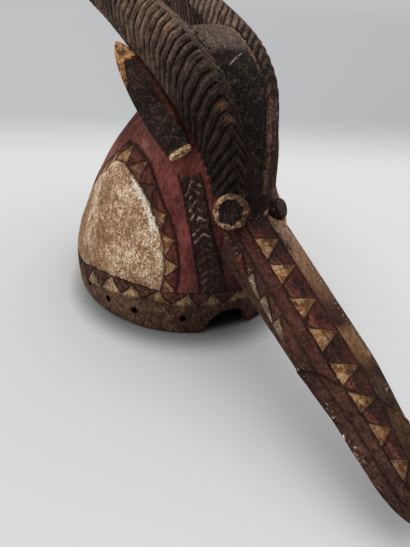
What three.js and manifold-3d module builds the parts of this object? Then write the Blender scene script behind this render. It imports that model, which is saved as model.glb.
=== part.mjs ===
// Antelope helmet mask, carved from one log: a hollow dome that goes over the
// wearer's head, a long faceted muzzle, two ribbed horns swept back, two leaf
// ears and two knob eyes. Millimetres, +Z up, +X towards the muzzle's tip, and
// the dome's rim stands on z = 0. The sizes below are measured from the middle
// of the rim; the finished mask is moved so that its box is centred on the origin.
import * as THREE from 'three';
import { mergeVertices } from 'three/addons/utils/BufferGeometryUtils.js';
import Module from 'manifold-3d';

const wasm = await Module();
wasm.setup();

// Driving dimensions of the dome: front and back on the X axis and half width,
// at each height. pinch narrows the face in front of the wearer's head.
const DOME = [
  { z: 0, front: 126, back: -139, half: 118, pinch: 0.0 },
  { z: 30, front: 128, back: -140, half: 118, pinch: 0.0 },
  { z: 60, front: 131, back: -129, half: 112, pinch: 0.02 },
  { z: 90, front: 135, back: -113, half: 101, pinch: 0.06 },
  { z: 120, front: 139, back: -96, half: 87, pinch: 0.12 },
  { z: 150, front: 141, back: -75, half: 70, pinch: 0.18 },
  { z: 180, front: 137, back: -48, half: 51, pinch: 0.18 },
  { z: 205, front: 121, back: -16, half: 34, pinch: 0.1 },
  { z: 222, front: 96, back: 18, half: 18, pinch: 0.0 },
];
const DOME_RINGS = 12;
const DOME_SIDES = 56;
const LEFT_NARROWER = 0.16;
const LEFT_NARROWS_FROM = 90;
const LEFT_NARROWS_TO = 130;

// The rim's outer edge, rounded by wear: how far in it stands at each height
const RIM_WEAR = [{ z: 0, inset: 4 }, { z: 1.2, inset: 1.1 }, { z: 4, inset: 0 }];

// The hollow follows the dome, one wall thickness inside it
const WALL_RIM = 13;
const WALL_TOP = 20;
const HOLLOW_TOP = 158;
const HOLLOW_RINGS = 8;
const HOLLOW_SIDES = 40;
const HOLLOW_FOOT = -2;
const HOLLOW_CLOSES_FROM = 0.72;
const HOLLOW_CLOSING = 260;

// Arch cut in the front of the rim, under the muzzle
const ARCH_CENTRE_Y = -8.5;
const ARCH_HALF_WIDTH = 24.5;
const ARCH_HEIGHT = 27;
const ARCH_SPRINGS_AT = 2;
const ARCH_FOOT = -4;
const ARCH_BACK = 90;
const ARCH_LENGTH = 60;
const ARCH_SIDES = 12;

// Holes round the rim for the fibre fringe, by their angle from the front
const FRINGE_HOLE_RADIUS = 3.3;
const FRINGE_HOLE_LENGTH = 44;
const FRINGE_HOLE_HEIGHT = 20;
const FRINGE_HOLE_SIDES = 6;
const FRINGE_HOLE_ANGLES = [
  -26, -49, -64, -80, -97, -115, -133, -150, -169, 173, 155, 138, 120, 103, 87, 70, 52, 30,
];

// Muzzle: a straight spine along the middle of its top face
const MUZZLE_ROOT = { x: 112, z: 137.5 };
const MUZZLE_TIP = { x: 357, z: 26 };
const MUZZLE_DRIFT = 1;
const MUZZLE_HALF_ROOT = 27.5;
const MUZZLE_HALF_TIP = 21.5;
const MUZZLE_NARROWS_FROM = 0.6;
const MUZZLE_NARROWS_TO = 0.8;
const MUZZLE_DEEP_ROOT = 48;
const MUZZLE_DEEP_TIP = 18;
const MUZZLE_CHEEK_ROOT = 38;
const MUZZLE_CHEEK_TIP = 5;
const MUZZLE_BAND_RIGHT = -0.33;
const MUZZLE_BAND_LEFT = 0.46;
const MUZZLE_FACET_DROP = 4;
const MUZZLE_FLANK_SIDE = -0.7;
const MUZZLE_FLANK_DROP = 1.6;
const MUZZLE_SIDE_DROP = 10;
const MUZZLE_SIDE_LIP = 3;
const MUZZLE_LEFT_SWELL = 3.6;
const MUZZLE_SWELLS = [0, 0.18, 0.75, 0.95];
const MUZZLE_RIGHT_TRIM = 3.4;
const MUZZLE_BELLY_SIDE = 0.62;
const MUZZLE_BELLY_DEPTH = 0.9;
const MUZZLE_ROUNDED = 0.16;
const MUZZLE_TIP_DEPTH = 0.35;
const MUZZLE_STATIONS = 16;
const MUZZLE_CROWDED_TO_TIP = 1.6;

// Horn: the ridge runs up from the brow and back in one long arc. Each point has
// its distance from the middle plane, and the depth and width of the horn there.
const HORN = [
  { x: 143, y: 15, z: 148, deep: 50, wide: 34 },
  { x: 139, y: 17, z: 190, deep: 54, wide: 40 },
  { x: 121, y: 20, z: 223, deep: 57, wide: 46 },
  { x: 84, y: 25, z: 252, deep: 57, wide: 48 },
  { x: 0, y: 31, z: 281, deep: 53, wide: 47 },
  { x: -100, y: 38, z: 304, deep: 43, wide: 40 },
  { x: -190, y: 45, z: 311, deep: 29, wide: 28 },
  { x: -262, y: 50, z: 300, deep: 19, wide: 18 },
];
const RIB_PITCH = 10.5;
const RIB_DEPTH = 3;
const RIB_DEPTH_LEFT = 1.8;
const CHEVRON_ROOT = 1;
const CHEVRON_OUTER = 0.12;
const CHEVRON_ROOT_LENGTH = 120;
const CHEVRON_CURL = 0.008;
const CHEVRON_INNER = 1.3;
const RIBS_FADE_IN = 12;
const RIBS_FADE_OUT = 40;
const LEFT_RIBS_FROM = 50;
const LEFT_RIBS_TO = 110;
const LEFT_HORN_IN = 4.5;
const LEFT_ROOT_IN = 4.5;
const LEFT_ROOT_FROM = 40;
const LEFT_ROOT_TO = 100;
const HORN_BLUNT = 16;
const HORN_CORE = { in: 0.5, out: 0.06 };

// Horn section, from the ridge round the outer flank and back up the inner face:
// in is the share of the depth, out the share of the width, away from the middle
const HORN_SECTION = [
  { in: 0.0, out: 0.1 },
  { in: 0.1, out: 0.29 },
  { in: 0.34, out: 0.47 },
  { in: 0.64, out: 0.5 },
  { in: 0.9, out: 0.3 },
  { in: 1.0, out: 0.02 },
  { in: 0.86, out: -0.26 },
  { in: 0.52, out: -0.38 },
  { in: 0.2, out: -0.34 },
  { in: 0.08, out: -0.16 },
];
const HORN_KEEL = 5;

// Smooth web that joins the two horns over the forehead: from the right horn's
// ridge to the left, crowned in the middle and sunk a little beside each horn
const WEB_FAR_EDGE = 18.8;
const WEB_NEAR_INSET = 5;
const WEB_DEEP = 34;
const WEB_SUNK = 3.5;
const WEB_SUNK_NEAR = 4.5;
const WEB_SUNK_FROM = 70;
const WEB_SUNK_TO = 130;
const WEB_CROWN = 3;
const WEB_START = 0.008;
const WEB_END = 0.335;
const WEB_ROUNDED = 10;
const WEB_STATIONS = 12;
const WEB_ACROSS = 4;

// Ear: a long leaf laid along the horn's lower edge
const EAR_ROOT = new THREE.Vector3(104.5, 49.2, 176);
const EAR_TIP = new THREE.Vector3(-11, 58, 241);
const LEFT_EAR_SET_BACK = new THREE.Vector3(-18, -4, 2);
const EAR_FACING = new THREE.Vector3(0.43, 0.54, 0.73);
const EAR_HALF_WIDTH = 13.5;
const EAR_HALF_THICK = 6;
const EAR_WIDEST = 0.42;
const EAR_TAPER = 0.585;
const EAR_END_SHARE = 0.015;
const EAR_THIN_EDGE = 0.45;
const EAR_ROOT_THIN = 0.62;
const EAR_ROOT_THIN_TO = 0.25;
const EAR_STATIONS = 10;
const EAR_SIDES = 8;

// Eyes: round knobs with a rounded edge and a shallow dish in the face. The far
// one is smaller and lower, as the carver left it.
const EYES = [
  { centre: [158, -34, 147.5], facing: [0.72, -0.53, 0.44], radius: 13.7, length: 34 },
  { centre: [138, 33, 130], facing: [0.66, 0.66, 0.36], radius: 9.4, length: 28 },
];
const EYE_BEVEL = 5.5;
const EYE_BEVEL_STEPS = 3;
const EYE_DISH = 0.8;
const EYE_SIDES = 24;

// A closed skin over rings of points, each ring fanned shut at the two ends
function skin(rings) {
  const sides = rings[0].length;
  const first = new THREE.Vector3();
  const last = new THREE.Vector3();
  rings[0].forEach((p) => first.addScaledVector(p, 1 / sides));
  rings[rings.length - 1].forEach((p) => last.addScaledVector(p, 1 / sides));
  const points = [...rings.flat(), first, last];
  const faces = [];
  for (let r = 0; r + 1 < rings.length; r++) {
    for (let s = 0; s < sides; s++) {
      const a = r * sides + s;
      const b = r * sides + ((s + 1) % sides);
      faces.push(a, b, b + sides, a, b + sides, a + sides);
    }
  }
  const top = (rings.length - 1) * sides;
  for (let s = 0; s < sides; s++) {
    const next = (s + 1) % sides;
    faces.push(next, s, rings.length * sides);
    faces.push(top + s, top + next, rings.length * sides + 1);
  }
  const geometry = new THREE.BufferGeometry();
  const positions = points.flatMap((p) => [p.x, p.y, p.z]);
  geometry.setAttribute('position', new THREE.Float32BufferAttribute(positions, 3));
  geometry.setIndex(faces);
  return geometry;
}

// A three.js geometry as a solid, turned right side out if its faces point inwards
function solid(geometry) {
  const bare = geometry.clone();
  bare.deleteAttribute('normal');
  bare.deleteAttribute('uv');
  const merged = mergeVertices(bare, 1e-4);
  const vertProperties = new Float32Array(merged.attributes.position.array);
  const triVerts = new Uint32Array(merged.index.array);
  const made = new wasm.Manifold(new wasm.Mesh({ numProp: 3, vertProperties, triVerts }));
  if (made.volume() > 0) return made;
  const turned = new Uint32Array(triVerts);
  for (let i = 0; i < turned.length; i += 3) [turned[i], turned[i + 1]] = [turned[i + 1], turned[i]];
  return new wasm.Manifold(new wasm.Mesh({ numProp: 3, vertProperties, triVerts: turned }));
}

function geometryOf(manifold) {
  const mesh = manifold.getMesh();
  const geometry = new THREE.BufferGeometry();
  geometry.setAttribute('position', new THREE.BufferAttribute(new Float32Array(mesh.vertProperties), 3));
  geometry.setIndex(new THREE.BufferAttribute(new Uint32Array(mesh.triVerts), 1));
  geometry.computeVertexNormals();
  return geometry;
}

// A smooth reading of a table at key t, by a curve through its rows
function smoothTable(rows, key, names) {
  const pointsOf = (name) => rows.map((row) => new THREE.Vector2(row[key], row[name]));
  const curves = names.map((name) => new THREE.SplineCurve(pointsOf(name)));
  return (value) => {
    let low = 0;
    let high = 1;
    for (let i = 0; i < 30; i++) {
      const middle = (low + high) / 2;
      if (curves[0].getPoint(middle).x < value) low = middle;
      else high = middle;
    }
    return Object.fromEntries(names.map((name, i) => [name, curves[i].getPoint(low).y]));
  };
}

const domeAt = smoothTable(DOME, 'z', ['front', 'back', 'half', 'pinch']);

// One level ring of the dome, drawn in by inset. The face is narrower on its left.
function domeRing(z, sides, inset) {
  const { front, back, half, pinch } = domeAt(THREE.MathUtils.clamp(z, 0, DOME.at(-1).z));
  const middle = (front + back) / 2;
  const reach = (front - back) / 2 - inset;
  const trim = LEFT_NARROWER * THREE.MathUtils.smoothstep(z, LEFT_NARROWS_FROM, LEFT_NARROWS_TO);
  return Array.from({ length: sides }, (_, i) => {
    const turn = (2 * Math.PI * i) / sides;
    const isLeft = Math.sin(turn) > 0;
    const narrowing = (1 - pinch * Math.cos(turn)) * (isLeft ? 1 - trim * Math.max(0, Math.cos(turn)) : 1);
    return new THREE.Vector3(middle + reach * Math.cos(turn), (half - inset) * narrowing * Math.sin(turn), z);
  });
}

function dome() {
  const top = DOME.at(-1).z;
  const rings = RIM_WEAR.map(({ z, inset }) => domeRing(z, DOME_SIDES, inset));
  for (let i = 1; i <= DOME_RINGS; i++) rings.push(domeRing((top * i) / DOME_RINGS, DOME_SIDES, 0));
  return solid(skin(rings));
}

function hollow() {
  const rings = [domeRing(HOLLOW_FOOT, HOLLOW_SIDES, WALL_RIM)];
  for (let i = 0; i <= HOLLOW_RINGS; i++) {
    const share = i / HOLLOW_RINGS;
    const wall = WALL_RIM + (WALL_TOP - WALL_RIM) * share;
    const closing = HOLLOW_CLOSING * Math.max(0, share - HOLLOW_CLOSES_FROM) ** 2;
    rings.push(domeRing(HOLLOW_TOP * share, HOLLOW_SIDES, wall + closing));
  }
  return solid(skin(rings));
}

function rimArch() {
  const shape = new THREE.Shape();
  shape.moveTo(-ARCH_HALF_WIDTH, ARCH_FOOT);
  shape.lineTo(ARCH_HALF_WIDTH, ARCH_FOOT);
  shape.lineTo(ARCH_HALF_WIDTH, ARCH_SPRINGS_AT);
  shape.absellipse(0, ARCH_SPRINGS_AT, ARCH_HALF_WIDTH, ARCH_HEIGHT - ARCH_SPRINGS_AT, 0, Math.PI, false);
  const options = { depth: ARCH_LENGTH, bevelEnabled: false, curveSegments: ARCH_SIDES };
  const geometry = new THREE.ExtrudeGeometry(shape, options);
  geometry.applyMatrix4(new THREE.Matrix4().makeBasis(
    new THREE.Vector3(0, 1, 0), new THREE.Vector3(0, 0, 1), new THREE.Vector3(1, 0, 0)));
  geometry.translate(ARCH_BACK, ARCH_CENTRE_Y, 0);
  return solid(geometry);
}

function fringeHole(degrees) {
  const turn = THREE.MathUtils.degToRad(degrees);
  const { front, back, half } = domeAt(FRINGE_HOLE_HEIGHT);
  const geometry = new THREE.CylinderGeometry(
    FRINGE_HOLE_RADIUS, FRINGE_HOLE_RADIUS, FRINGE_HOLE_LENGTH, FRINGE_HOLE_SIDES);
  geometry.rotateZ(Math.PI / 2);
  geometry.rotateZ(Math.atan2(Math.sin(turn) / half, Math.cos(turn) / ((front - back) / 2)));
  geometry.translate(
    (front + back) / 2 + ((front - back) / 2) * Math.cos(turn), half * Math.sin(turn), FRINGE_HOLE_HEIGHT);
  return solid(geometry);
}

// The muzzle's section at a share u of its length: a flat band on top, a sloping
// facet on each side of it, and a rounded belly. The right facet breaks in two.
function muzzleRing(u) {
  const { lerp, smoothstep } = THREE.MathUtils;
  const along = new THREE.Vector3(MUZZLE_TIP.x - MUZZLE_ROOT.x, 0, MUZZLE_TIP.z - MUZZLE_ROOT.z);
  const down = new THREE.Vector3(along.z, 0, -along.x).normalize();
  const intoTip = Math.max(0, (u - (1 - MUZZLE_ROUNDED)) / MUZZLE_ROUNDED);
  const round = Math.sqrt(Math.max(0.02, 1 - intoTip ** 2));
  const taper = Math.min(1, u / (1 - MUZZLE_ROUNDED));
  const narrowing = smoothstep(u, MUZZLE_NARROWS_FROM, MUZZLE_NARROWS_TO);
  const half = lerp(MUZZLE_HALF_ROOT, MUZZLE_HALF_TIP, narrowing) * round;
  const [swellFrom, swellTo, sinkFrom, sinkTo] = MUZZLE_SWELLS;
  const swell = smoothstep(u, swellFrom, swellTo) * (1 - smoothstep(u, sinkFrom, sinkTo));
  const leftHalf = half + MUZZLE_LEFT_SWELL * swell;
  const rightHalf = half - MUZZLE_RIGHT_TRIM * (1 - narrowing);
  const belly = lerp(MUZZLE_DEEP_ROOT, MUZZLE_DEEP_TIP, taper) * lerp(MUZZLE_TIP_DEPTH, 1, round);
  const cheek = lerp(MUZZLE_CHEEK_ROOT, MUZZLE_CHEEK_TIP, taper);
  const sideDrop = Math.min(MUZZLE_SIDE_DROP, cheek + MUZZLE_SIDE_LIP * round);
  const bellySide = MUZZLE_BELLY_SIDE * half;
  const bellyDepth = MUZZLE_BELLY_DEPTH * belly;
  const section = [
    [MUZZLE_BAND_RIGHT * half, 0], [MUZZLE_BAND_LEFT * half, 0],
    [leftHalf, MUZZLE_FACET_DROP], [leftHalf, cheek], [bellySide, bellyDepth],
    [0, belly], [-bellySide, bellyDepth], [-rightHalf, Math.max(cheek, sideDrop)], [-rightHalf, sideDrop],
    [MUZZLE_FLANK_SIDE * half, MUZZLE_FLANK_DROP],
  ];
  return section.map(([side, depth]) => new THREE.Vector3(
    MUZZLE_ROOT.x + along.x * u + down.x * depth,
    MUZZLE_DRIFT * u + side,
    MUZZLE_ROOT.z + along.z * u + down.z * depth,
  ));
}

function muzzle() {
  const rings = [];
  for (let i = 0; i <= MUZZLE_STATIONS; i++) {
    const share = i / MUZZLE_STATIONS;
    rings.push(muzzleRing(1 - (1 - share) ** MUZZLE_CROWDED_TO_TIP));
  }
  return solid(skin(rings));
}

const hornRidge = new THREE.CatmullRomCurve3(
  HORN.map((row) => new THREE.Vector3(row.x, row.y, row.z)), false, 'centripetal');
const HORN_LENGTH = hornRidge.getLength();

// Depth and width of the horn at a distance along its ridge
function hornSize(distance) {
  const t = hornRidge.getUtoTmapping(THREE.MathUtils.clamp(distance / HORN_LENGTH, 0, 1)) * (HORN.length - 1);
  const row = Math.min(HORN.length - 2, Math.floor(t));
  return {
    deep: THREE.MathUtils.lerp(HORN[row].deep, HORN[row + 1].deep, t - row),
    wide: THREE.MathUtils.lerp(HORN[row].wide, HORN[row + 1].wide, t - row),
  };
}

// A point of the horn's skin: distance along the ridge, place in the section, and
// how far it is sunk into a groove. The last stretch is rounded to a blunt tip.
// side is -1 for the right horn, 1 for the left, which is set a little further in.
function hornPoint(distance, place, sunk, side) {
  const u = THREE.MathUtils.clamp(distance / HORN_LENGTH, 0, 1);
  const onRidge = hornRidge.getPointAt(u);
  const along = hornRidge.getTangentAt(u);
  const inward = new THREE.Vector3(-along.z, 0, along.x).normalize();
  const { deep, wide } = hornSize(distance);
  const reach = new THREE.Vector2((place.in - HORN_CORE.in) * deep, (place.out - HORN_CORE.out) * wide);
  const intoTip = THREE.MathUtils.clamp((distance - HORN_LENGTH + HORN_BLUNT) / HORN_BLUNT, 0, 1);
  const blunting = Math.sqrt(Math.max(0.1, 1 - intoTip ** 2));
  const drawn = Math.max(0, 1 - sunk / Math.max(reach.length(), 1)) * blunting;
  const depth = HORN_CORE.in * deep + reach.x * drawn;
  const outwards = HORN_CORE.out * wide + reach.y * drawn;
  const rootIn = LEFT_ROOT_IN * (1 - THREE.MathUtils.smoothstep(distance, LEFT_ROOT_FROM, LEFT_ROOT_TO));
  const movedIn = side > 0 ? LEFT_HORN_IN + rootIn : 0;
  return new THREE.Vector3(
    onRidge.x + inward.x * depth, side * (onRidge.y + outwards) - movedIn, onRidge.z + inward.z * depth);
}

// How far each place of the section trails behind the ridge along a rib: the ribs
// cross the horn as chevrons that point up, steep at the root and nearly level above
function ribLags(distance) {
  const { deep, wide } = hornSize(distance);
  const gap = (a, b) => Math.hypot((a.in - b.in) * deep, (a.out - b.out) * wide);
  const upHorn = THREE.MathUtils.smoothstep(distance, 0, CHEVRON_ROOT_LENGTH);
  const slope = THREE.MathUtils.lerp(CHEVRON_ROOT, CHEVRON_OUTER, upHorn);
  return HORN_SECTION.map((_, i) => {
    const isOuter = i <= HORN_KEEL;
    const walk = isOuter ? HORN_SECTION.slice(0, i + 1) : [...HORN_SECTION.slice(i), HORN_SECTION[0]];
    const round = walk.slice(1).reduce((sum, place, k) => sum + gap(place, walk[k]), 0);
    return isOuter ? round * slope + CHEVRON_CURL * round ** 2 : round * CHEVRON_INNER;
  });
}

function horn(side) {
  const ribs = Math.floor(HORN_LENGTH / RIB_PITCH);
  const ribDepth = side > 0 ? RIB_DEPTH_LEFT : RIB_DEPTH;
  const rings = [];
  for (let i = 0; i <= 2 * ribs; i++) {
    const distance = (HORN_LENGTH * i) / (2 * ribs);
    const isGroove = i % 2 === 1;
    const begun = side > 0 ? THREE.MathUtils.smoothstep(distance, LEFT_RIBS_FROM, LEFT_RIBS_TO) : 1;
    const fade = begun * Math.min(1, (HORN_LENGTH - distance) / RIBS_FADE_OUT, distance / RIBS_FADE_IN);
    const towardsTip = Math.min(1, (HORN_LENGTH - distance) / RIBS_FADE_OUT);
    const lags = ribLags(distance);
    rings.push(HORN_SECTION.map((place, k) => {
      const lag = lags[k] * towardsTip;
      const shifted = distance > 0 ? distance ** 2 / (distance + lag) : 0;
      return hornPoint(shifted, place, isGroove ? ribDepth * fade : 0, side);
    }));
  }
  return solid(skin(rings));
}

function web() {
  const rings = [];
  for (let i = 0; i <= WEB_STATIONS; i++) {
    const share = i / WEB_STATIONS;
    const u = THREE.MathUtils.lerp(WEB_START, WEB_END, Math.sin((share * Math.PI) / 2));
    const onRidge = hornRidge.getPointAt(u);
    const along = hornRidge.getTangentAt(u);
    const inward = new THREE.Vector3(-along.z, 0, along.x).normalize();
    const nearEdge = WEB_NEAR_INSET - onRidge.y;
    const besideNear = 1 - THREE.MathUtils.smoothstep(u * HORN_LENGTH, WEB_SUNK_FROM, WEB_SUNK_TO);
    const at = (depth, y) => new THREE.Vector3(onRidge.x + inward.x * depth, y, onRidge.z + inward.z * depth);
    const ring = [];
    for (let k = 0; k <= WEB_ACROSS; k++) {
      const across = k / WEB_ACROSS;
      const crown = WEB_CROWN * (1 - (2 * across - 1) ** 2);
      const sunk = WEB_SUNK + WEB_ROUNDED * share ** 8 + WEB_SUNK_NEAR * besideNear * (1 - across);
      ring.push(at(sunk - crown, THREE.MathUtils.lerp(nearEdge, WEB_FAR_EDGE, across)));
    }
    rings.push([...ring, at(WEB_DEEP, WEB_FAR_EDGE), at(WEB_DEEP, nearEdge)]);
  }
  return solid(skin(rings));
}

function ear(side) {
  const mirror = new THREE.Vector3(1, side, 1);
  const root = EAR_ROOT.clone().multiply(mirror);
  const tip = EAR_TIP.clone().multiply(mirror);
  if (side > 0) [root, tip].forEach((end) => end.add(LEFT_EAR_SET_BACK));
  const along = tip.clone().sub(root).normalize();
  const facing = EAR_FACING.clone().multiply(mirror);
  facing.addScaledVector(along, -facing.dot(along)).normalize();
  const across = new THREE.Vector3().crossVectors(along, facing).normalize();
  const rings = [];
  for (let i = 0; i <= EAR_STATIONS; i++) {
    const u = i / EAR_STATIONS;
    const leaf = Math.sqrt(Math.max(EAR_END_SHARE, 1 - ((u - EAR_WIDEST) / EAR_TAPER) ** 2));
    const width = EAR_HALF_WIDTH * leaf;
    const grown = THREE.MathUtils.smoothstep(u, 0, EAR_ROOT_THIN_TO);
    const edge = THREE.MathUtils.lerp(EAR_THIN_EDGE, 1, leaf);
    const thickness = EAR_HALF_THICK * THREE.MathUtils.lerp(EAR_ROOT_THIN, 1, grown) * edge;
    const centre = root.clone().lerp(tip, u);
    rings.push(Array.from({ length: EAR_SIDES }, (_, k) => {
      const turn = (2 * Math.PI * k) / EAR_SIDES;
      return centre
        .clone()
        .addScaledVector(across, width * Math.cos(turn))
        .addScaledVector(facing, thickness * Math.sin(turn));
    }));
  }
  return solid(skin(rings));
}

function eye({ centre, facing, radius, length }) {
  const profile = [[0, -length], [radius, -length]];
  for (let k = 0; k <= EYE_BEVEL_STEPS; k++) {
    const turn = ((Math.PI / 2) * k) / EYE_BEVEL_STEPS;
    profile.push([radius - EYE_BEVEL * (1 - Math.cos(turn)), -EYE_BEVEL * (1 - Math.sin(turn))]);
  }
  profile.push([0, -EYE_DISH]);
  const geometry = new THREE.LatheGeometry(profile.map(([r, h]) => new THREE.Vector2(r, h)), EYE_SIDES);
  const axis = new THREE.Vector3(...facing).normalize();
  geometry.applyQuaternion(new THREE.Quaternion().setFromUnitVectors(new THREE.Vector3(0, 1, 0), axis));
  geometry.translate(...centre);
  return solid(geometry);
}

function mask() {
  const grown = [muzzle(), horn(-1), horn(1), web(), ear(-1), ear(1), ...EYES.map(eye)];
  const outside = grown.reduce((whole, piece) => whole.add(piece), dome());
  const cuts = [hollow(), rimArch(), ...FRINGE_HOLE_ANGLES.map(fringeHole)];
  return cuts.reduce((whole, cutter) => whole.subtract(cutter), outside);
}

const wood = new THREE.MeshStandardMaterial({ color: 0x6e3a2b, roughness: 0.85, metalness: 0 });
const antelopeMask = new THREE.Mesh(geometryOf(mask()), wood);
antelopeMask.name = 'antelope_mask';
antelopeMask.geometry.computeBoundingBox();
const boxCentre = antelopeMask.geometry.boundingBox.getCenter(new THREE.Vector3());
antelopeMask.position.set(-boxCentre.x, -boxCentre.y, 0);

const object = new THREE.Group();
object.add(antelopeMask);

export default object;
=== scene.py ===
# Antelope helmet mask, carved from one log: the frame's single solid is replaced
# by one fine mesh with its carving, and stands on a pale sweep as photographed.
# Lengths are metres, +X towards the muzzle's tip, +Z up.
import math
import bpy
import numpy as np
from mathutils import Matrix, Vector


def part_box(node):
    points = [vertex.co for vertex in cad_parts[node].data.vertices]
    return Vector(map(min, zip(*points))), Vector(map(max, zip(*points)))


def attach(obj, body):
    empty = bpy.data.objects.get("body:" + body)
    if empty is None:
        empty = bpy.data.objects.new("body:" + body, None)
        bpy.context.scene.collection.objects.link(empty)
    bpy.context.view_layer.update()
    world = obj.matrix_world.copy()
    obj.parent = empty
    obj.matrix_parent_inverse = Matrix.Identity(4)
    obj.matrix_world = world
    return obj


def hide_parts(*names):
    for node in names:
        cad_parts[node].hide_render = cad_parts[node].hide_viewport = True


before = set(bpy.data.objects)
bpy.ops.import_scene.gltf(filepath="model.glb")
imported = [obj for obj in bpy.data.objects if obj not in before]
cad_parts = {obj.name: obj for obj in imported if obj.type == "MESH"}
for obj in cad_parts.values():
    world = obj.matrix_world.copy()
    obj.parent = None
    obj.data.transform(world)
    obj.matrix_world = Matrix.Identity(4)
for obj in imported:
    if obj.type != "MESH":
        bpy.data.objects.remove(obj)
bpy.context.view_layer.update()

# Camera. It stands to the right of the muzzle's tip and above it, where the
# photograph was taken from, with the slight roll of a camera held in the hand.
# It is turned round from the mask's right side, then down towards it.
CAMERA_PLACE = (0.3562, -0.1855, 0.2823)
CAMERA_ROUND = math.radians(61.8)
CAMERA_DOWN = math.radians(33.3)
CAMERA_ROLL = math.radians(1.9)
FRAME_HEIGHT_PX = 547
FOCAL_LENGTH_PX = 430
SENSOR = 36.0
NEAREST = 0.01


def shown(name, data):
    """A new object with the data, in the scene."""
    made = bpy.data.objects.new(name, data)
    bpy.context.scene.collection.objects.link(made)
    return made


def place_camera():
    lens = bpy.data.cameras.new("camera")
    lens.sensor_width = SENSOR
    lens.lens = SENSOR * FOCAL_LENGTH_PX / FRAME_HEIGHT_PX
    lens.clip_start = NEAREST
    camera = shown("camera", lens)
    camera.matrix_world = (
        Matrix.Translation(CAMERA_PLACE) @ Matrix.Rotation(CAMERA_ROUND, 4, "Z")
        @ Matrix.Rotation(math.pi / 2 - CAMERA_DOWN, 4, "X") @ Matrix.Rotation(CAMERA_ROLL, 4, "Z"))
    bpy.context.scene.camera = camera


place_camera()

# Floor and light. The mask stands on a seamless pale sweep under one large soft
# light overhead, with a weaker fill, so that its shadows are broad and faint.
FLOOR_RADIUS = 60.0
FLOOR_SIDES = 96
FLOOR_COLOUR = (0.63, 0.635, 0.64, 1)
STUDIO_COLOUR = (1.0, 0.993, 0.985, 1)
STUDIO_STRENGTH = 0.525

# The paper turns into a wall that glows evenly: where it begins behind the mask
# and all round, how its glow goes from left to right, and where it ends in haze.
WALL_BACK = (-0.881, 0.473, 0.0)
WALL_FOOT = (0.36, 0.84)
WALL_ROUND = (1.3, 2.4)
WALL_GLOW_LEFT = (0.530, 0.535, 0.540, 1)
WALL_GLOW_RIGHT = (0.455, 0.460, 0.470, 1)
WALL_ACROSS = (0.78, 0.62, 0.0)
WALL_GLOW_TURNS = (-0.9, 0.6)
WALL_FADES = (5.0, 14.0)

# Round the foot of the dome the paper is darker, as the shade close to it is in
# the photograph. The reach is counted in the rim's own radii, and the shade is
# left out on the lit side.
RIM_MIDDLE = (-0.054, 0.0, 0.0)
RIM_REACH = (7.5, 8.4, 1.0)
SHADED_PAPER = (0.22, 0.22, 0.22, 1)
SHADE_REACH = (1.0, 1.26)
SHADE_TOWARDS = (0.88, -0.47, 0.0)
SHADE_SIDES = (0.9, -0.1)
# Under the dome the paper is painted nearly black, a painted shade in the hollow.
PAINTED_SHADE_UNDER_DOME = (0.03, 0.028, 0.027, 1)
SHADE_UNDER_DOME_REACH = (0.90, 1.0)

# The lamps: name, place, what each is aimed at, its width and its power.
LAMPS = (
    ("key", (-0.15, 0.20, 1.50), (0.05, -0.02, 0.0), 3.0, 30),
    ("fill", (0.3, -1.4, 1.1), (0.0, 0.0, 0.1), 1.4, 2.3),
)


def math_method(operation, swapped=False):
    """A method that adds the node for one kind of sum."""
    def method(self, other=0.0):
        terms = (other, self) if swapped else (self, other)
        return self.w.math(operation, *terms)
    return method


class Value:
    """What a node gives out. A sum with it adds the node that works the sum out."""

    def __init__(self, w, socket):
        self.w = w
        self.socket = socket

    __add__ = __radd__ = math_method("ADD")
    __mul__ = __rmul__ = math_method("MULTIPLY")
    __sub__ = math_method("SUBTRACT")
    __rsub__ = math_method("SUBTRACT", swapped=True)
    __truediv__ = math_method("DIVIDE")
    __rtruediv__ = math_method("DIVIDE", swapped=True)
    __pow__ = math_method("POWER")
    __abs__ = math_method("ABSOLUTE")


def tone(red, green, blue):
    """A colour by its values from 0 to 255 on a screen."""
    def linear(value):
        share = value / 255
        return share / 12.92 if share <= 0.04045 else ((share + 0.055) / 1.055) ** 2.4
    return (linear(red), linear(green), linear(blue), 1)


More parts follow.
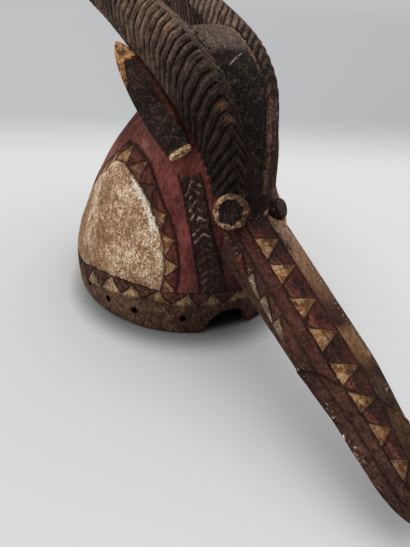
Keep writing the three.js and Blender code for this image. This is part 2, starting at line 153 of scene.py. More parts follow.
class Wiring:
    """Adds nodes to a tree and feeds them with values, numbers or colours."""

    def __init__(self, tree):
        self.tree = tree

    def add(self, kind, inputs=None, **settings):
        node = self.tree.nodes.new(kind)
        for name, value in settings.items():
            setattr(node, name, value)
        for key, value in (inputs or {}).items():
            self.feed(node.inputs[key], value)
        return node

    def feed(self, socket, value):
        if isinstance(value, Value):
            self.tree.links.new(value.socket, socket)
        else:
            socket.default_value = value

    def read(self, kind, inputs=None, output=0, **settings):
        """One of the values that a new node gives out."""
        return Value(self, self.add(kind, inputs, **settings).outputs[output])

    def all_of(self, node):
        return {socket.name: Value(self, socket) for socket in node.outputs}

    def math(self, operation, first, second=0.0, clamp=False):
        return self.read("ShaderNodeMath", {0: first, 1: second}, operation=operation, use_clamp=clamp)

    def vector(self, operation, first, second=(0, 0, 0)):
        output = "Value" if operation in ("LENGTH", "DOT_PRODUCT") else "Vector"
        return self.read("ShaderNodeVectorMath", {0: first, 1: second}, output, operation=operation)

    def split(self, vector):
        return list(self.all_of(self.add("ShaderNodeSeparateXYZ", {0: vector})).values())

    def most(self, first, *others):
        for other in others:
            first = self.math("MAXIMUM", first, other)
        return first

    def noise(self, scale, detail, roughness=0.5, **inputs):
        return self.read("ShaderNodeTexNoise", {
            "Scale": scale, "Detail": detail, "Roughness": roughness, **inputs})

    def ramp(self, value, low, high, to_low=0.0, to_high=1.0):
        """A smooth step of the value from low to high."""
        return self.read("ShaderNodeMapRange", {
            "Value": value, "From Min": low, "From Max": high, "To Min": to_low, "To Max": to_high},
            output="Result", interpolation_type="SMOOTHSTEP")

    def near(self, distance, width):
        """1 on the line that the distance is measured from, and 0 from the width on."""
        return self.ramp(abs(distance), width, width * 0.35)

    def wave(self, phase):
        """1 at whole numbers, 0 half way between."""
        return abs(self.math("FRACT", phase) - 0.5) * 2.0

    def between(self, factor, first, second):
        return self.read("ShaderNodeMix", {0: factor, 2: first, 3: second})

    def mix(self, factor, first, second):
        """A colour between two, of which a plain one is a screen's or has four parts."""
        pair = [tone(*c) if isinstance(c, tuple) and len(c) == 3 else c for c in (first, second)]
        return self.read("ShaderNodeMix", {0: factor, 6: pair[0], 7: pair[1]}, output=2, data_type="RGBA")

    def shade(self, value, low, high, first, second):
        """The first colour where the value is low, the second where it is high."""
        return self.mix(self.ramp(value, low, high), first, second)

    def attribute(self, name):
        return self.read("ShaderNodeAttribute", output="Fac", attribute_name=name)


class Material(Wiring):
    """The wiring of a new material."""

    def __init__(self, name):
        self.made = bpy.data.materials.new(name)
        self.made.use_nodes = True
        super().__init__(self.made.node_tree)
        self.tree.nodes.clear()

    def closed(self, shader):
        """The material, with its shader joined up."""
        self.add("ShaderNodeOutputMaterial", {"Surface": shader})
        return self.made


def floor_material():
    """Paper that turns into a glowing wall, with painted shade close to the dome and under it."""
    w = Material("sweep_paper")
    place = w.read("ShaderNodeTexCoord", output="Object")
    away = w.vector("LENGTH", place)
    rightwards = w.ramp(w.vector("DOT_PRODUCT", place, WALL_ACROSS) / away, *WALL_GLOW_TURNS)
    behind = w.vector("DOT_PRODUCT", place, WALL_BACK)
    far = w.most(w.ramp(behind, *WALL_FOOT), w.ramp(away, *WALL_ROUND))
    from_rim = w.vector("MULTIPLY", w.vector("SUBTRACT", place, RIM_MIDDLE), RIM_REACH)
    outside = w.vector("LENGTH", from_rim)
    side = w.vector("DOT_PRODUCT", from_rim, SHADE_TOWARDS) / outside
    lit = w.math("ADD", w.ramp(outside, *SHADE_REACH), w.ramp(side, *SHADE_SIDES), clamp=True)
    shaded = w.mix(lit, SHADED_PAPER, FLOOR_COLOUR)
    # Painted shade: darker round the rim outside, nearly black inside it.
    shaded = w.mix(w.ramp(outside, *SHADE_UNDER_DOME_REACH), PAINTED_SHADE_UNDER_DOME, shaded)
    studio = tuple(STUDIO_STRENGTH * value for value in STUDIO_COLOUR[:3]) + (1,)
    wall = w.mix(w.ramp(away, *WALL_FADES), w.mix(rightwards, WALL_GLOW_LEFT, WALL_GLOW_RIGHT), studio)
    paper = w.read("ShaderNodeBsdfDiffuse", {"Color": shaded})
    glow = w.read("ShaderNodeEmission", {"Color": wall})
    return w.closed(w.read("ShaderNodeMixShader", {0: far, 1: paper, 2: glow}))


def lay_floor():
    bpy.ops.mesh.primitive_circle_add(vertices=FLOOR_SIDES, radius=FLOOR_RADIUS, fill_type="NGON")
    floor = bpy.context.object
    floor.name = "sweep"
    floor.data.materials.append(floor_material())


def area_light(name, place, aim, size, power):
    lamp = bpy.data.lights.new(name, "AREA")
    lamp.shape = "DISK"
    lamp.size = size
    lamp.energy = power
    light = shown(name, lamp)
    light.location = place
    light.rotation_euler = (Vector(aim) - Vector(place)).to_track_quat("-Z", "Y").to_euler()


lay_floor()
for each in LAMPS:
    area_light(*each)
world = bpy.data.worlds.new("studio")
world.use_nodes = True
background = world.node_tree.nodes["Background"]
background.inputs["Color"].default_value = STUDIO_COLOUR
background.inputs["Strength"].default_value = STUDIO_STRENGTH
bpy.context.scene.world = world
bpy.context.scene.view_settings.view_transform = "Standard"

# Dome. A hollow bell of wood that goes over the wearer's head, carved with an
# adze outside and in. Its front rises to the brow that carries horns and eyes.
TIP_AHEAD = 0.357
MASK_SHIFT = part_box("antelope_mask")[1].x - TIP_AHEAD
DOME = np.array([
    # height, front, back, half width, pinch of the face
    (0.000, 0.126, -0.139, 0.118, 0.00),
    (0.030, 0.128, -0.140, 0.118, 0.00),
    (0.060, 0.131, -0.129, 0.112, 0.02),
    (0.090, 0.135, -0.113, 0.101, 0.06),
    (0.120, 0.139, -0.096, 0.087, 0.12),
    (0.150, 0.141, -0.075, 0.070, 0.18),
    (0.180, 0.137, -0.048, 0.051, 0.18),
    (0.205, 0.121, -0.016, 0.034, 0.10),
    (0.222, 0.096, 0.018, 0.018, 0.00),
])
DOME_CURVE_STEPS = 250
DOME_SIDES = 330
DOME_FOOT_RINGS = (0, 0.0005, 0.0013, 0.0024, 0.0038)
DOME_STEP = 0.0021
DOME_RINGS_FROM = 0.0056
RIM_WEAR = 0.0040
WALL_RIM = 0.013
WALL_TOP = 0.020
HOLLOW_TOP = 0.158
LEFT_NARROWER = 0.16
LEFT_NARROWS = (0.090, 0.130)


def smooth_curve(rows, steps, spacing):
    """Points on a smooth curve through all rows but the first and last, and their row numbers.
    A spacing of 0 treats the rows as evenly spaced, and one of 0.5 keeps the curve close to them."""
    out, numbers = [], []
    for i in range(len(rows) - 3):
        p0, p1, p2, p3 = rows[i:i + 4]
        d0, d1, d2 = (max(np.linalg.norm(b - a), 1e-9) ** spacing for a, b in ((p0, p1), (p1, p2), (p2, p3)))
        v1 = ((p1 - p0) / d0 - (p2 - p0) / (d0 + d1) + (p2 - p1) / d1) * d1
        v2 = ((p2 - p1) / d1 - (p3 - p1) / (d1 + d2) + (p3 - p2) / d2) * d1
        t = np.linspace(0, 1, steps, endpoint=False)[:, None]
        out.append((2 * t ** 3 - 3 * t ** 2 + 1) * p1 + (t ** 3 - 2 * t ** 2 + t) * v1
                   + (3 * t ** 2 - 2 * t ** 3) * p2 + (t ** 3 - t ** 2) * v2)
        numbers.append(i + t[:, 0])
    return np.concatenate(out + [rows[-2:-1]]), np.append(np.concatenate(numbers), len(rows) - 3)


DOME_CURVE, _ = smooth_curve(np.pad(DOME, ((1, 1), (0, 0)), mode="edge"), DOME_CURVE_STEPS, 0)


def dome_at(heights):
    """Front, back, half width and pinch of the dome at each height."""
    return [np.interp(heights, DOME_CURVE[:, 0], column) for column in DOME_CURVE.T[1:]]


def smooth_step(value, low, high):
    t = np.clip((value - low) / (high - low), 0, 1)
    return t * t * (3 - 2 * t)


def mesh_piece(name, grid, marks, finish):
    """A closed skin over a grid of rings, with the named marks on its points."""
    rings, sides = grid.shape[:2]
    ends = np.stack([grid[0].mean(0), grid[-1].mean(0)])
    points = np.concatenate([grid.reshape(-1, 3), ends])
    a = np.arange((rings - 1) * sides).reshape(rings - 1, sides)
    b = np.roll(a, -1, 1)
    quads = np.stack([a, b, b + sides, a + sides], -1).reshape(-1, 4)
    first = np.arange(sides)
    last = first + (rings - 1) * sides
    fans = [(int(q), int(p), rings * sides) for p, q in zip(first, np.roll(first, -1))]
    fans += [(int(p), int(q), rings * sides + 1) for p, q in zip(last, np.roll(last, -1))]
    mesh = bpy.data.meshes.new(name)
    mesh.from_pydata(points.tolist(), [], quads.tolist() + fans)
    for mark, values in marks.items():
        values = np.broadcast_to(values, (rings, sides))
        flat = np.append(values.reshape(-1), [values[0].mean(), values[-1].mean()])
        layer = mesh.attributes.new(mark, "FLOAT", "POINT")
        layer.data.foreach_set("value", flat.astype(np.float32))
    mesh.materials.append(finish)
    return shown(name, mesh)


def turns(sides):
    return np.arange(sides) * 2 * math.pi / sides


def dome_grid(heights, sides, inset):
    """Rings round the dome, inset from its outside, and the turn of each point."""
    front, back, half, pinch = (v[:, None] for v in dome_at(np.clip(heights, 0, DOME[-1, 0])))
    height = heights[:, None]
    inset = inset[:, None]
    turn = turns(sides)[None]
    reach = (front - back) / 2 - inset
    x = (front + back) / 2 + reach * np.cos(turn) + MASK_SHIFT
    trimmed = LEFT_NARROWER * np.maximum(np.cos(turn), 0) * (np.sin(turn) > 0)
    trimmed = 1 - trimmed * smooth_step(height, *LEFT_NARROWS)
    y = (half - inset) * (1 - pinch * np.cos(turn)) * np.sin(turn) * trimmed
    return np.stack([x, y, np.broadcast_to(height, x.shape)], -1), np.broadcast_to(turn, x.shape)


def mark_distances(values, targets):
    """The least distance from each value to any of the targets."""
    return np.min([np.abs(values - target) for target in targets], axis=0)


# The dome's painted fields, by arch: the size in mm of the nested arches on each
# side of the head, from the crusted panel inside to the herringbone band outside.
# Each line between fields is a row of (sweep, size in mm), and the rim's band is
# bounded by rows of (degrees from the front, height in mm).
ARCH_CENTRE_TURN = 103.0
ARCH_CENTRE_HEIGHT = 55.0
ARCH_MM_PER_DEGREE = 1.9
ARCH_SQUAT = 0.758
ARCH_BACK_SHARE = 0.3
PANEL_LINE = ((82, 124), (88, 120.6), (94, 113), (100, 105.4), (106, 102))
TEETH_LINE = ((50, 137), (55, 138.2), (61, 141.5), (67, 144.8), (72, 146), (82, 146), (88, 142.6),
              (94, 135), (100, 127.4), (106, 124))
STRIPE_LINE = ((0, 157), (12, 152), (24, 150.5), (34, 152), (43, 155), (57, 163))
HERRING_LINE = ((0, 180.5), (10, 175), (20, 171.5), (31, 171.5), (41, 175.5), (52, 182))
HERRING_ENDS = 55.0
ARCH_TOOTH_DEGREES = 14.0
RIM_TOOTH_DEGREES = 12.4
RIM_TOOTH_FIRST = 26.0
TEETH_FIELD_MM = 16.0
RIM_BAND_MM = 18.0
RIM_BAND_TOP = ((62, 51), (71, 48.3), (80, 42.5), (89, 36.7), (98, 34))
RIM_BAND_FOOT = ((48, 36), (58, 33.4), (69, 27), (80, 20.6), (90, 18))
DOME_CARVING = {"Adze Depth": 0.0009, "Adze Size": 0.03, "Groove Width": 0.0030, "Groove Depth": 0.0005}


def drawn_line(along, line):
    places, sizes = zip(*line)
    return np.interp(along, places, sizes)


def dome_marks(grid, turn):
    """Where each point lies in the painted fields, and how far it is from a cut."""
    degrees = np.abs((np.degrees(turn) + 180) % 360 - 180)
    height = grid[..., 2] * 1000
    aside = (ARCH_CENTRE_TURN - degrees) * ARCH_MM_PER_DEGREE
    aside = np.where(aside < 0, aside / ARCH_BACK_SHARE, aside)
    above = np.maximum(height - ARCH_CENTRE_HEIGHT, 0) / ARCH_SQUAT
    arch = np.hypot(aside, above)
    sweep = np.degrees(np.arctan2(above, aside))
    lines = [drawn_line(sweep, line) for line in (PANEL_LINE, TEETH_LINE, STRIPE_LINE, HERRING_LINE)]
    across = (arch - lines[0]) / (lines[1] - lines[0])
    arch_cut = mark_distances(arch, lines[:2])
    with_stripe = mark_distances(arch, lines)
    arch_cut = np.where(sweep < HERRING_ENDS, with_stripe, arch_cut)
    top = drawn_line(degrees, RIM_BAND_TOP)
    foot = drawn_line(degrees, RIM_BAND_FOOT)
    rim_share = (height - foot) / (top - foot)
    rim_cut = np.minimum(np.abs(height - top), np.abs(height - foot))
    cut = np.where(height > top, np.minimum(arch_cut, height - top), rim_cut)
    return {
        "groove": cut / 1000, "panel": arch - lines[0], "across": across, "stripe": arch - lines[2],
        "herring": arch - lines[3], "sweep": sweep, "rim_share": rim_share, "turn": degrees,
    }


def geometry_tree(name, sizes):
    """A Geometry Nodes tree with a geometry, the named sizes and a material going in."""
    tree = bpy.data.node_groups.new(name, "GeometryNodeTree")
    tree.interface.new_socket("Geometry", in_out="INPUT", socket_type="NodeSocketGeometry")
    for size, value in sizes.items():
        socket = tree.interface.new_socket(size, in_out="INPUT", socket_type="NodeSocketFloat")
        socket.default_value = value
    tree.interface.new_socket("Finish", in_out="INPUT", socket_type="NodeSocketMaterial")
    tree.interface.new_socket("Geometry", in_out="OUTPUT", socket_type="NodeSocketGeometry")
    w = Wiring(tree)
    return w, w.all_of(w.add("NodeGroupInput"))


def close_tree(w, geometry, finish):
    whole = w.read("GeometryNodeRealizeInstances", {"Geometry": geometry})
    dressed = w.read("GeometryNodeSetMaterial", {"Geometry": whole, "Material": finish})
    w.add("NodeGroupOutput", {"Geometry": dressed})
    return w.tree


def stored(w, name, kind="FLOAT"):
    return w.read("GeometryNodeInputNamedAttribute", {"Name": name}, output="Attribute", data_type=kind)


def pushed_out(w, geometry, amount):
    """The geometry with each point moved along its normal by the amount."""
    normal = w.read("GeometryNodeInputNormal")
    offset = w.read("ShaderNodeVectorMath", {0: normal, "Scale": amount}, operation="SCALE")
    return w.read("GeometryNodeSetPosition", {"Geometry": geometry, "Offset": offset})


def apply_modifiers(piece):
    graph = bpy.context.evaluated_depsgraph_get()
    mesh = bpy.data.meshes.new_from_object(piece.evaluated_get(graph), depsgraph=graph)
    piece.modifiers.clear()
    piece.data = mesh


def carved_by(piece, tree, values, finish):
    """The piece with the tree applied, as a plain mesh."""
    step = piece.modifiers.new(tree.name, "NODES")
    step.node_group = tree
    given = {**values, "Finish": finish}
    for item in tree.interface.items_tree:
        if item.in_out == "INPUT" and item.name in given:
            step[item.identifier] = given[item.name]
    apply_modifiers(piece)
    return piece


def incising_tree():
    """Adze work all over, and grooves where the groove attribute is near nought."""
    w, given = geometry_tree("adze_and_knife", {
        "Adze Depth": 0.001, "Adze Size": 0.03, "Groove Width": 0.002, "Groove Depth": 0.001})
    adze = (w.noise(1.0 / given["Adze Size"], 2.0) - 0.5) * (given["Adze Depth"] * 2.0)
    depth = w.math("SUBTRACT", 1.0, stored(w, "groove") / given["Groove Width"], clamp=True)
    sunk = depth * (2.0 - depth) * given["Groove Depth"]
    return close_tree(w, pushed_out(w, given["Geometry"], adze - sunk), given["Finish"])


def shader_group(name, inputs, outputs):
    """A group for materials. A socket takes colours if its first value is one."""
    tree = bpy.data.node_groups.new(name, "ShaderNodeTree")
    for way, sockets in (("INPUT", inputs), ("OUTPUT", outputs)):
        for label, start in sockets.items():
            kind = "NodeSocketColor" if isinstance(start, tuple) else "NodeSocketFloat"
            tree.interface.new_socket(label, in_out=way, socket_type=kind).default_value = start
    w = Wiring(tree)
    return w, w.all_of(w.add("NodeGroupInput"))


def wood_grain_group():
    """Grain drawn along one axis, with pits, flakes of lost paint and soft blotches."""
    w, given = shader_group("wood_grain", {"Along X": 1.0, "Along Z": 1.0},
                            dict.fromkeys(("Grain", "Fine", "Flake", "Blotch", "Up"), 0.0))
    place = w.read("ShaderNodeTexCoord", output="Object")
    stretch = w.read("ShaderNodeCombineXYZ", {0: given["Along X"], 1: 1.0, 2: given["Along Z"]})
    w.add("NodeGroupOutput", {
        "Grain": w.noise(420.0, 4.0, 0.65, Vector=w.vector("MULTIPLY", place, stretch)),
        "Fine": w.noise(560.0, 3.0, 0.75, Vector=place),
        "Flake": w.noise(130.0, 7.0, 0.72, Vector=place),
        "Blotch": w.noise(26.0, 5.0, 0.6, Vector=place),
        "Up": w.split(w.read("ShaderNodeNewGeometry", output="Normal"))[2]})
    return w.tree


def patina_group():
    """Paint lost down to the wood, grime in the cuts, and dust on what faces up."""
    w, given = shader_group(
        "patina",
        {"Paint": (0.2, 0.1, 0.1, 1), "Wood": (0.3, 0.2, 0.1, 1), "Grime": (0.02, 0.015, 0.012, 1),
         "Dust": (0.5, 0.45, 0.4, 1), "Worn": 0.3, "Dirty": 0.5, "Dusty": 0.2, "Gritty": 1.0, "Line": 0.0,
         "Grain": 0.5, "Fine": 0.5, "Flake": 0.5, "Blotch": 0.5, "Up": 0.0},
        {"Colour": (0.2, 0.1, 0.1, 1), "Roughness": 0.7, "Height": 0.0})
    grain, fine, flake, blotch = (given[name] for name in ("Grain", "Fine", "Flake", "Blotch"))
    bare_from = 0.7 - given["Worn"] * 0.25
    bare = w.ramp(flake * 0.7 + blotch * 0.3, bare_from, bare_from + 0.035)
    painted = w.mix(bare * 0.8, given["Paint"], given["Wood"])
    soiled = (w.ramp(blotch, 0.62, 0.36, 0.0, 0.6) + w.ramp(flake, 0.5, 0.3, 0.0, 0.5)
              + w.ramp(grain, 0.55, 0.3, 0.0, 0.5))
    dirtied = w.mix(w.math("MULTIPLY", soiled, given["Dirty"], clamp=True), painted, given["Grime"])
    settled = w.ramp(fine, 0.42, 0.66) * w.ramp(flake, 0.42, 0.6)
    dust = settled * w.ramp(given["Up"], -0.2, 0.9, 0.3, 1.0) * given["Dusty"]
    grit = 1.0 + ((fine - 0.5) * 2.4 + (grain - 0.5) * 1.6) * given["Gritty"]
    dusted = w.read("ShaderNodeHueSaturation", {
        "Color": w.mix(dust, dirtied, given["Dust"]), "Value": w.most(grit, 0.3)})
    cut = given["Line"] * w.ramp(flake, 0.32, 0.5, 0.35, 0.95)
    texture = fine * 0.5 + grain * 0.5 + flake * 0.8
    w.add("NodeGroupOutput", {
        "Colour": w.mix(cut, dusted, given["Grime"]), "Roughness": 0.6 + fine * 0.3,
        "Height": texture - bare * 0.5 - given["Line"] * 0.8})
    return w.tree


WOOD_GRAIN = wood_grain_group()
PATINA = patina_group()


def group(w, tree, inputs):
    return w.all_of(w.add("ShaderNodeGroup", inputs, node_tree=tree))


BARE_WOOD = (150, 110, 76)
SOOT = (24, 17, 14)
DUST = (140, 114, 92)
SHEEN = 0.06


class Wood(Material):
    """The material of a painted piece, with the patterns of its grain at hand. Two of them
    are also given about nought, to make an edge ragged and a line drawn by hand."""

    def __init__(self, name, along_x, along_z):
        super().__init__(name)
        self.patterns = group(self, WOOD_GRAIN, {"Along X": along_x, "Along Z": along_z})
        self.grain, self.fine, self.flake, self.blotch, _ = self.patterns.values()
        self.ragged = self.flake - 0.5
        self.by_hand = self.blotch - 0.5

    def finish(self, paint, worn, dirty, dusty, bump, line=0.0, wood=BARE_WOOD, gritty=1.0):
        """The material, with its paint aged and its shader joined up."""
        aged = group(self, PATINA, {
            "Paint": paint, "Wood": tone(*wood), "Grime": tone(*SOOT), "Dust": tone(*DUST),
            "Worn": worn, "Dirty": dirty, "Dusty": dusty, "Gritty": gritty, "Line": line, **self.patterns})
        raised = self.read("ShaderNodeBump", {"Height": aged["Height"], "Distance": bump, "Strength": 1.0})
        shader = self.add("ShaderNodeBsdfPrincipled", {
            "Base Color": aged["Colour"], "Roughness": aged["Roughness"], "Normal": raised})
        shader.inputs["Specular IOR Level"].default_value = SHEEN
        return self.closed(Value(self, shader.outputs[0]))


OXBLOOD = (124, 62, 55)
DARK_RED = (84, 46, 40)
KAOLIN = (240, 228, 208)
CRUST_TAN = (208, 174, 140)
RIM_BROWN = (96, 72, 58)
TOOTH_EDGE = 0.08
HERRING_PITCH = 3.6
HERRING_WIDE = 22.0
HERRING_CAP_TILT = 0.22
BROW_HEIGHT = 0.119
BROW_DEGREES = 26.0
FACET_ROOT_FROM = 0.0115
FACET_ROOT_TOP = 0.132


def panel_paint(w, panel, sweep, height):
    """Thick pale crust, scraped to tan in places and brown with dirt low down."""
    laid_on = w.fine * 0.55 + w.flake * 0.45 + w.by_hand * 0.42
    edge = w.ramp(panel, -11.0, -4.0) * w.ramp(sweep, 30.0, 42.0) * w.ramp(sweep, 76.0, 62.0)
    tan = w.shade(laid_on, 0.42, 0.57, (144, 106, 74), CRUST_TAN)
    crusted = w.mix(w.ramp(laid_on + edge * 0.16, 0.53, 0.62) * 0.85, tan, KAOLIN)
    return w.mix(w.ramp(height, 0.09, 0.04, 0.0, 0.42), crusted, (132, 92, 60))


def arch_tooth_paint(w, over, placed, sweep):
    """Triangles in ochre, rubbed brown where the paint is gone, between red ones."""
    which = w.math("FLOOR", placed + 0.5)
    by_tooth = w.read("ShaderNodeTexWhiteNoise", {"W": which}, output="Value", noise_dimensions="1D")
    rubbed = w.mix(by_tooth, (92, 56, 48), (138, 94, 66))
    fresh = w.mix(by_tooth, (168, 130, 96), (206, 158, 104))
    kept = w.blotch + w.ragged * 0.5 + w.ramp(sweep, 56.0, 84.0, -0.05, 0.03)
    pale = w.shade(kept, 0.46, 0.54, rubbed, fresh)
    red = w.shade(w.flake, 0.45, 0.6, DARK_RED, OXBLOOD)
    teeth = w.shade(over, -TOOTH_EDGE, TOOTH_EDGE, red, pale)
    return w.mix(w.ramp(w.fine, 0.5, 0.58) * 0.5, teeth, (62, 42, 36))


def herringbone_paint(w, stripe, herring, sweep):
    """Pale slanting strokes in two rows on a black stripe."""
    zigzag = w.wave((stripe + HERRING_WIDE) / HERRING_WIDE) * 1.25
    strokes = w.ramp(w.wave(sweep / HERRING_PITCH + zigzag), 0.55, 0.82)
    inside = w.ramp(stripe, 1.5, 4.0) * w.ramp(herring, -1.5, -4.0)
    dabs = strokes * inside * w.ramp(w.flake, 0.44, 0.58)
    cream = w.shade(w.flake, 0.5, 0.62, (126, 96, 72), (186, 166, 140))
    black = w.shade(w.fine, 0.45, 0.62, (34, 25, 22), (68, 51, 42))
    return w.mix(dabs * 0.85, black, cream)


def red_paint(w, herring, sweep, turn):
    """Mottled oxblood, paler in patches towards the top and deeper outside the herringbone."""
    paler_above = w.ramp(sweep, 60.0, 85.0) * w.ramp(w.blotch, 0.42, 0.58) * w.ramp(turn, 128.0, 106.0)
    mottled = w.shade(w.blotch, 0.36, 0.62, (112, 56, 54), (134, 71, 67))
    outer = w.shade(w.blotch, 0.4, 0.64, (96, 43, 42), (118, 58, 55))
    return w.shade(herring, -12, 10, w.mix(paler_above, mottled, (150, 98, 86)), outer)


def brow_paint(w, colour, place, height, turn):
    """Soot round the horns' roots, with the pale root of the muzzle's far facet."""
    brow = (w.ramp(height, BROW_HEIGHT - 0.004, BROW_HEIGHT + 0.004)
            * w.ramp(turn, BROW_DEGREES + 4, BROW_DEGREES - 4))
    colour = w.mix(brow, colour, (32, 24, 22))
    specks = w.ramp(w.fine, 0.52, 0.6) * w.ramp(height, 0.136, 0.128)
    colour = w.mix(specks * brow * 0.8, colour, (128, 98, 76))
    facet = (w.ramp(place[1], FACET_ROOT_FROM - 0.001, FACET_ROOT_FROM + 0.001)
             * w.ramp(height + w.by_hand * 0.01, FACET_ROOT_TOP, 0.128)
             * w.ramp(turn, BROW_DEGREES, BROW_DEGREES - 4))
    return w.mix(facet * w.ramp(w.flake, 0.36, 0.5), colour, (190, 148, 122))


def rim_paint(w, share, over, turn):
    """Worn triangles over wood rubbed brown, with bits of ochre and soot left on it."""
    pale = w.shade(w.blotch, 0.42, 0.58, (112, 80, 58), (184, 154, 118))
    dark = w.shade(w.flake, 0.45, 0.6, (66, 46, 38), (120, 70, 60))
    band = w.shade(over, -TOOTH_EDGE, TOOTH_EDGE, dark, pale)
    brown = w.shade(turn, 62.0, 22.0, RIM_BROWN, (70, 51, 41))
    brown = w.shade(turn, 72.0, 92.0, brown, (128, 100, 76))
    rubbed = w.shade(w.flake, 0.5, 0.66, brown, (132, 98, 76))
    ochre = w.ramp(w.fine, 0.52, 0.6) * w.ramp(w.blotch, 0.44, 0.6) * w.ramp(turn, 40.0, 82.0, 0.06, 0.42)
    rubbed = w.mix(ochre, rubbed, (176, 130, 88))
    soot = w.ramp(w.flake, 0.46, 0.36) * w.ramp(w.blotch, 0.56, 0.4)
    rubbed = w.mix(soot * 0.8, rubbed, (56, 40, 35))
    return w.shade(share, -0.1, 0.06, rubbed, band)


def dome_material():
    """The painted fields by the marks on the dome, with borders as uneven as a hand's."""
    w = Wood("dome_paint", 1.0, 0.3)
    shaky = w.ragged * 7.0 + w.by_hand * 3.0
    panel, stripe, herring = (w.attribute(name) + shaky for name in ("panel", "stripe", "herring"))
    across = w.attribute("across") + shaky / TEETH_FIELD_MM
    rim_share = w.attribute("rim_share") + shaky / RIM_BAND_MM
    sweep = w.attribute("sweep")
    turn = w.attribute("turn")
    place = w.split(w.read("ShaderNodeTexCoord", output="Object"))
    height = place[2]
    placed = sweep / ARCH_TOOTH_DEGREES + w.by_hand * 0.7
    over = w.wave(placed) - across
    rim_placed = (turn - RIM_TOOTH_FIRST) / RIM_TOOTH_DEGREES
    rim_over = w.wave(rim_placed + w.by_hand * 0.6) - rim_share
    up_to = sweep + stripe * HERRING_CAP_TILT
    in_herring = (w.ramp(up_to, HERRING_ENDS + 1.5, HERRING_ENDS - 1.5)
                  * w.ramp(stripe, -1, 1) * w.ramp(herring, 1, -1))
    in_panel = w.ramp(panel, 1.0, -1.0)
    above_rim = w.ramp(rim_share, 0.94, 1.06)
    colour = red_paint(w, herring, sweep, turn)
    colour = w.mix(in_herring, colour, herringbone_paint(w, stripe, herring, sweep))
    colour = w.shade(across, 1.06, 0.94, colour, arch_tooth_paint(w, over, placed, sweep))
    colour = w.mix(in_panel, colour, panel_paint(w, panel, sweep, height))
    colour = brow_paint(w, colour, place, height, turn)
    colour = w.mix(above_rim, rim_paint(w, rim_share, rim_over, turn), colour)
    # Painted shade: the dome's front is darker low down, under the muzzle's root.
    painted_shade_under_muzzle = w.ramp(turn, 34.0, 22.0) * w.ramp(height, 0.112, 0.098)
    colour = w.mix(painted_shade_under_muzzle * 0.7, colour, (52, 34, 30))
    in_teeth = w.ramp(across, -0.02, 0.02) * w.ramp(across, 1.02, 0.98)
    ends = w.ramp(up_to, HERRING_ENDS + 3, HERRING_ENDS)
    cuts = w.most(w.near(panel, 1.6), w.near(across - 1.0, 0.15), w.near(stripe, 1.6) * ends,
                  w.near(herring, 1.6) * ends, in_teeth * w.near(over, 0.13))
    in_rim = w.ramp(rim_share, -0.06, -0.02) * w.ramp(rim_share, 1.04, 1.0)
    rim_cuts = w.most(w.near(rim_share - 1.0, 0.1), w.near(rim_share, 0.08) * 0.6,
                      in_rim * w.near(rim_over, 0.13))
    return w.finish(
        colour, worn=0.18, dirty=w.between(in_panel * above_rim, 0.55, 0.12), dusty=0.25, bump=0.0012,
        line=w.between(above_rim, rim_cuts, cuts) * 0.85,
        gritty=w.between(above_rim, 1.4, w.between(in_panel, 0.6, 1.0)))


def make_dome():
    top = DOME[-1, 0]
    heights = np.concatenate([DOME_FOOT_RINGS, np.arange(DOME_RINGS_FROM, top, DOME_STEP), [top]])
    edge = RIM_WEAR * (1 - np.sqrt(1 - (1 - np.clip(heights / RIM_WEAR, 0, 1)) ** 2))
    grid, turn = dome_grid(heights, DOME_SIDES, edge)
    paint = dome_material()
    piece = mesh_piece("dome", grid, dome_marks(grid, turn), paint)
    return carved_by(piece, INCISING, DOME_CARVING, paint)


INCISING = incising_tree()
dome = make_dome()

# Muzzle. The long face runs down from the brow to the ground: one beam of wood
# with a flat painted band on top, a sloping facet each side and a rounded belly.
MUZZLE_ROOT = Vector((0.112, 0, 0.1375))
MUZZLE_TIP = Vector((0.357, 0, 0.026))
MUZZLE_DRIFT = 0.001
MUZZLE_HALF = (0.0275, 0.0215)
MUZZLE_NARROWS = (0.6, 0.8)
MUZZLE_DEEP = (0.048, 0.018)
MUZZLE_CHEEK = (0.038, 0.005)
MUZZLE_BAND = (-0.33, 0.46)
MUZZLE_FACET_DROP = 0.004
MUZZLE_FLANK = (-0.70, 0.0016)
MUZZLE_FLANK_DROP = 0.010
MUZZLE_FLANK_PAST = 0.003
MUZZLE_ROUNDED = 0.16
MUZZLE_BLUNT = 0.02
MUZZLE_TIP_BELLY = 0.35
MUZZLE_LEFT_SWELL = 0.0036
MUZZLE_RIGHT_TRIM = 0.0034
MUZZLE_SWELLS = (0.0, 0.18, 0.75, 0.95)
MUZZLE_BELLY = (0.62, 0.9)
MUZZLE_STATIONS = 200
MUZZLE_CROWDED = 1.25
MUZZLE_SPLITS = (22, 9, 9, 7, 7, 7, 7, 8, 8, 8)
MUZZLE_CARVING = {"Adze Depth": 0.0003, "Adze Size": 0.02, "Groove Width": 0.0013, "Groove Depth": 0.0009}

# The triangles of the band, each from its start over its apex to its end, by the
# share of the muzzle's run. Those of the near flank all have one length.
BAND_TEETH = ((0.174, 0.197, 0.263), (0.272, 0.297, 0.347), (0.388, 0.416, 0.463), (0.483, 0.522, 0.561),
              (0.588, 0.622, 0.658), (0.668, 0.712, 0.728), (0.752, 0.785, 0.813), (0.839, 0.859, 0.899))
FLANK_FIRST = 0.195
FLANK_TOOTH = 0.077
FLANK_TEETH_INSET = 0.25
FLANK_SLANT = 0.55
FLANK_DEEP = 0.014
BAND_NARROWS = (0.72, 0.86)
BAND_NARROWER = 0.26
BAND_MM = 21.0
TOOTH_EDGE_MM = 6.5
OFF_BAND = -9
FAR_OFF_MM = 99

# The split that runs slantwise over the band and the near flank: its places by the
# share of the run and of the half width to the left.
CRACK_SLANT = 0.45
CRACK_ON_FLANK = (-0.6, 0.02)
CRACK = ((0.516, -1.18), (0.55, -1.0), (0.578, -0.86), (0.628, -0.53), (0.663, -0.27), (0.69, 0.06),
         (0.715, 0.41), (0.753, 0.85), (0.79, 1.05))

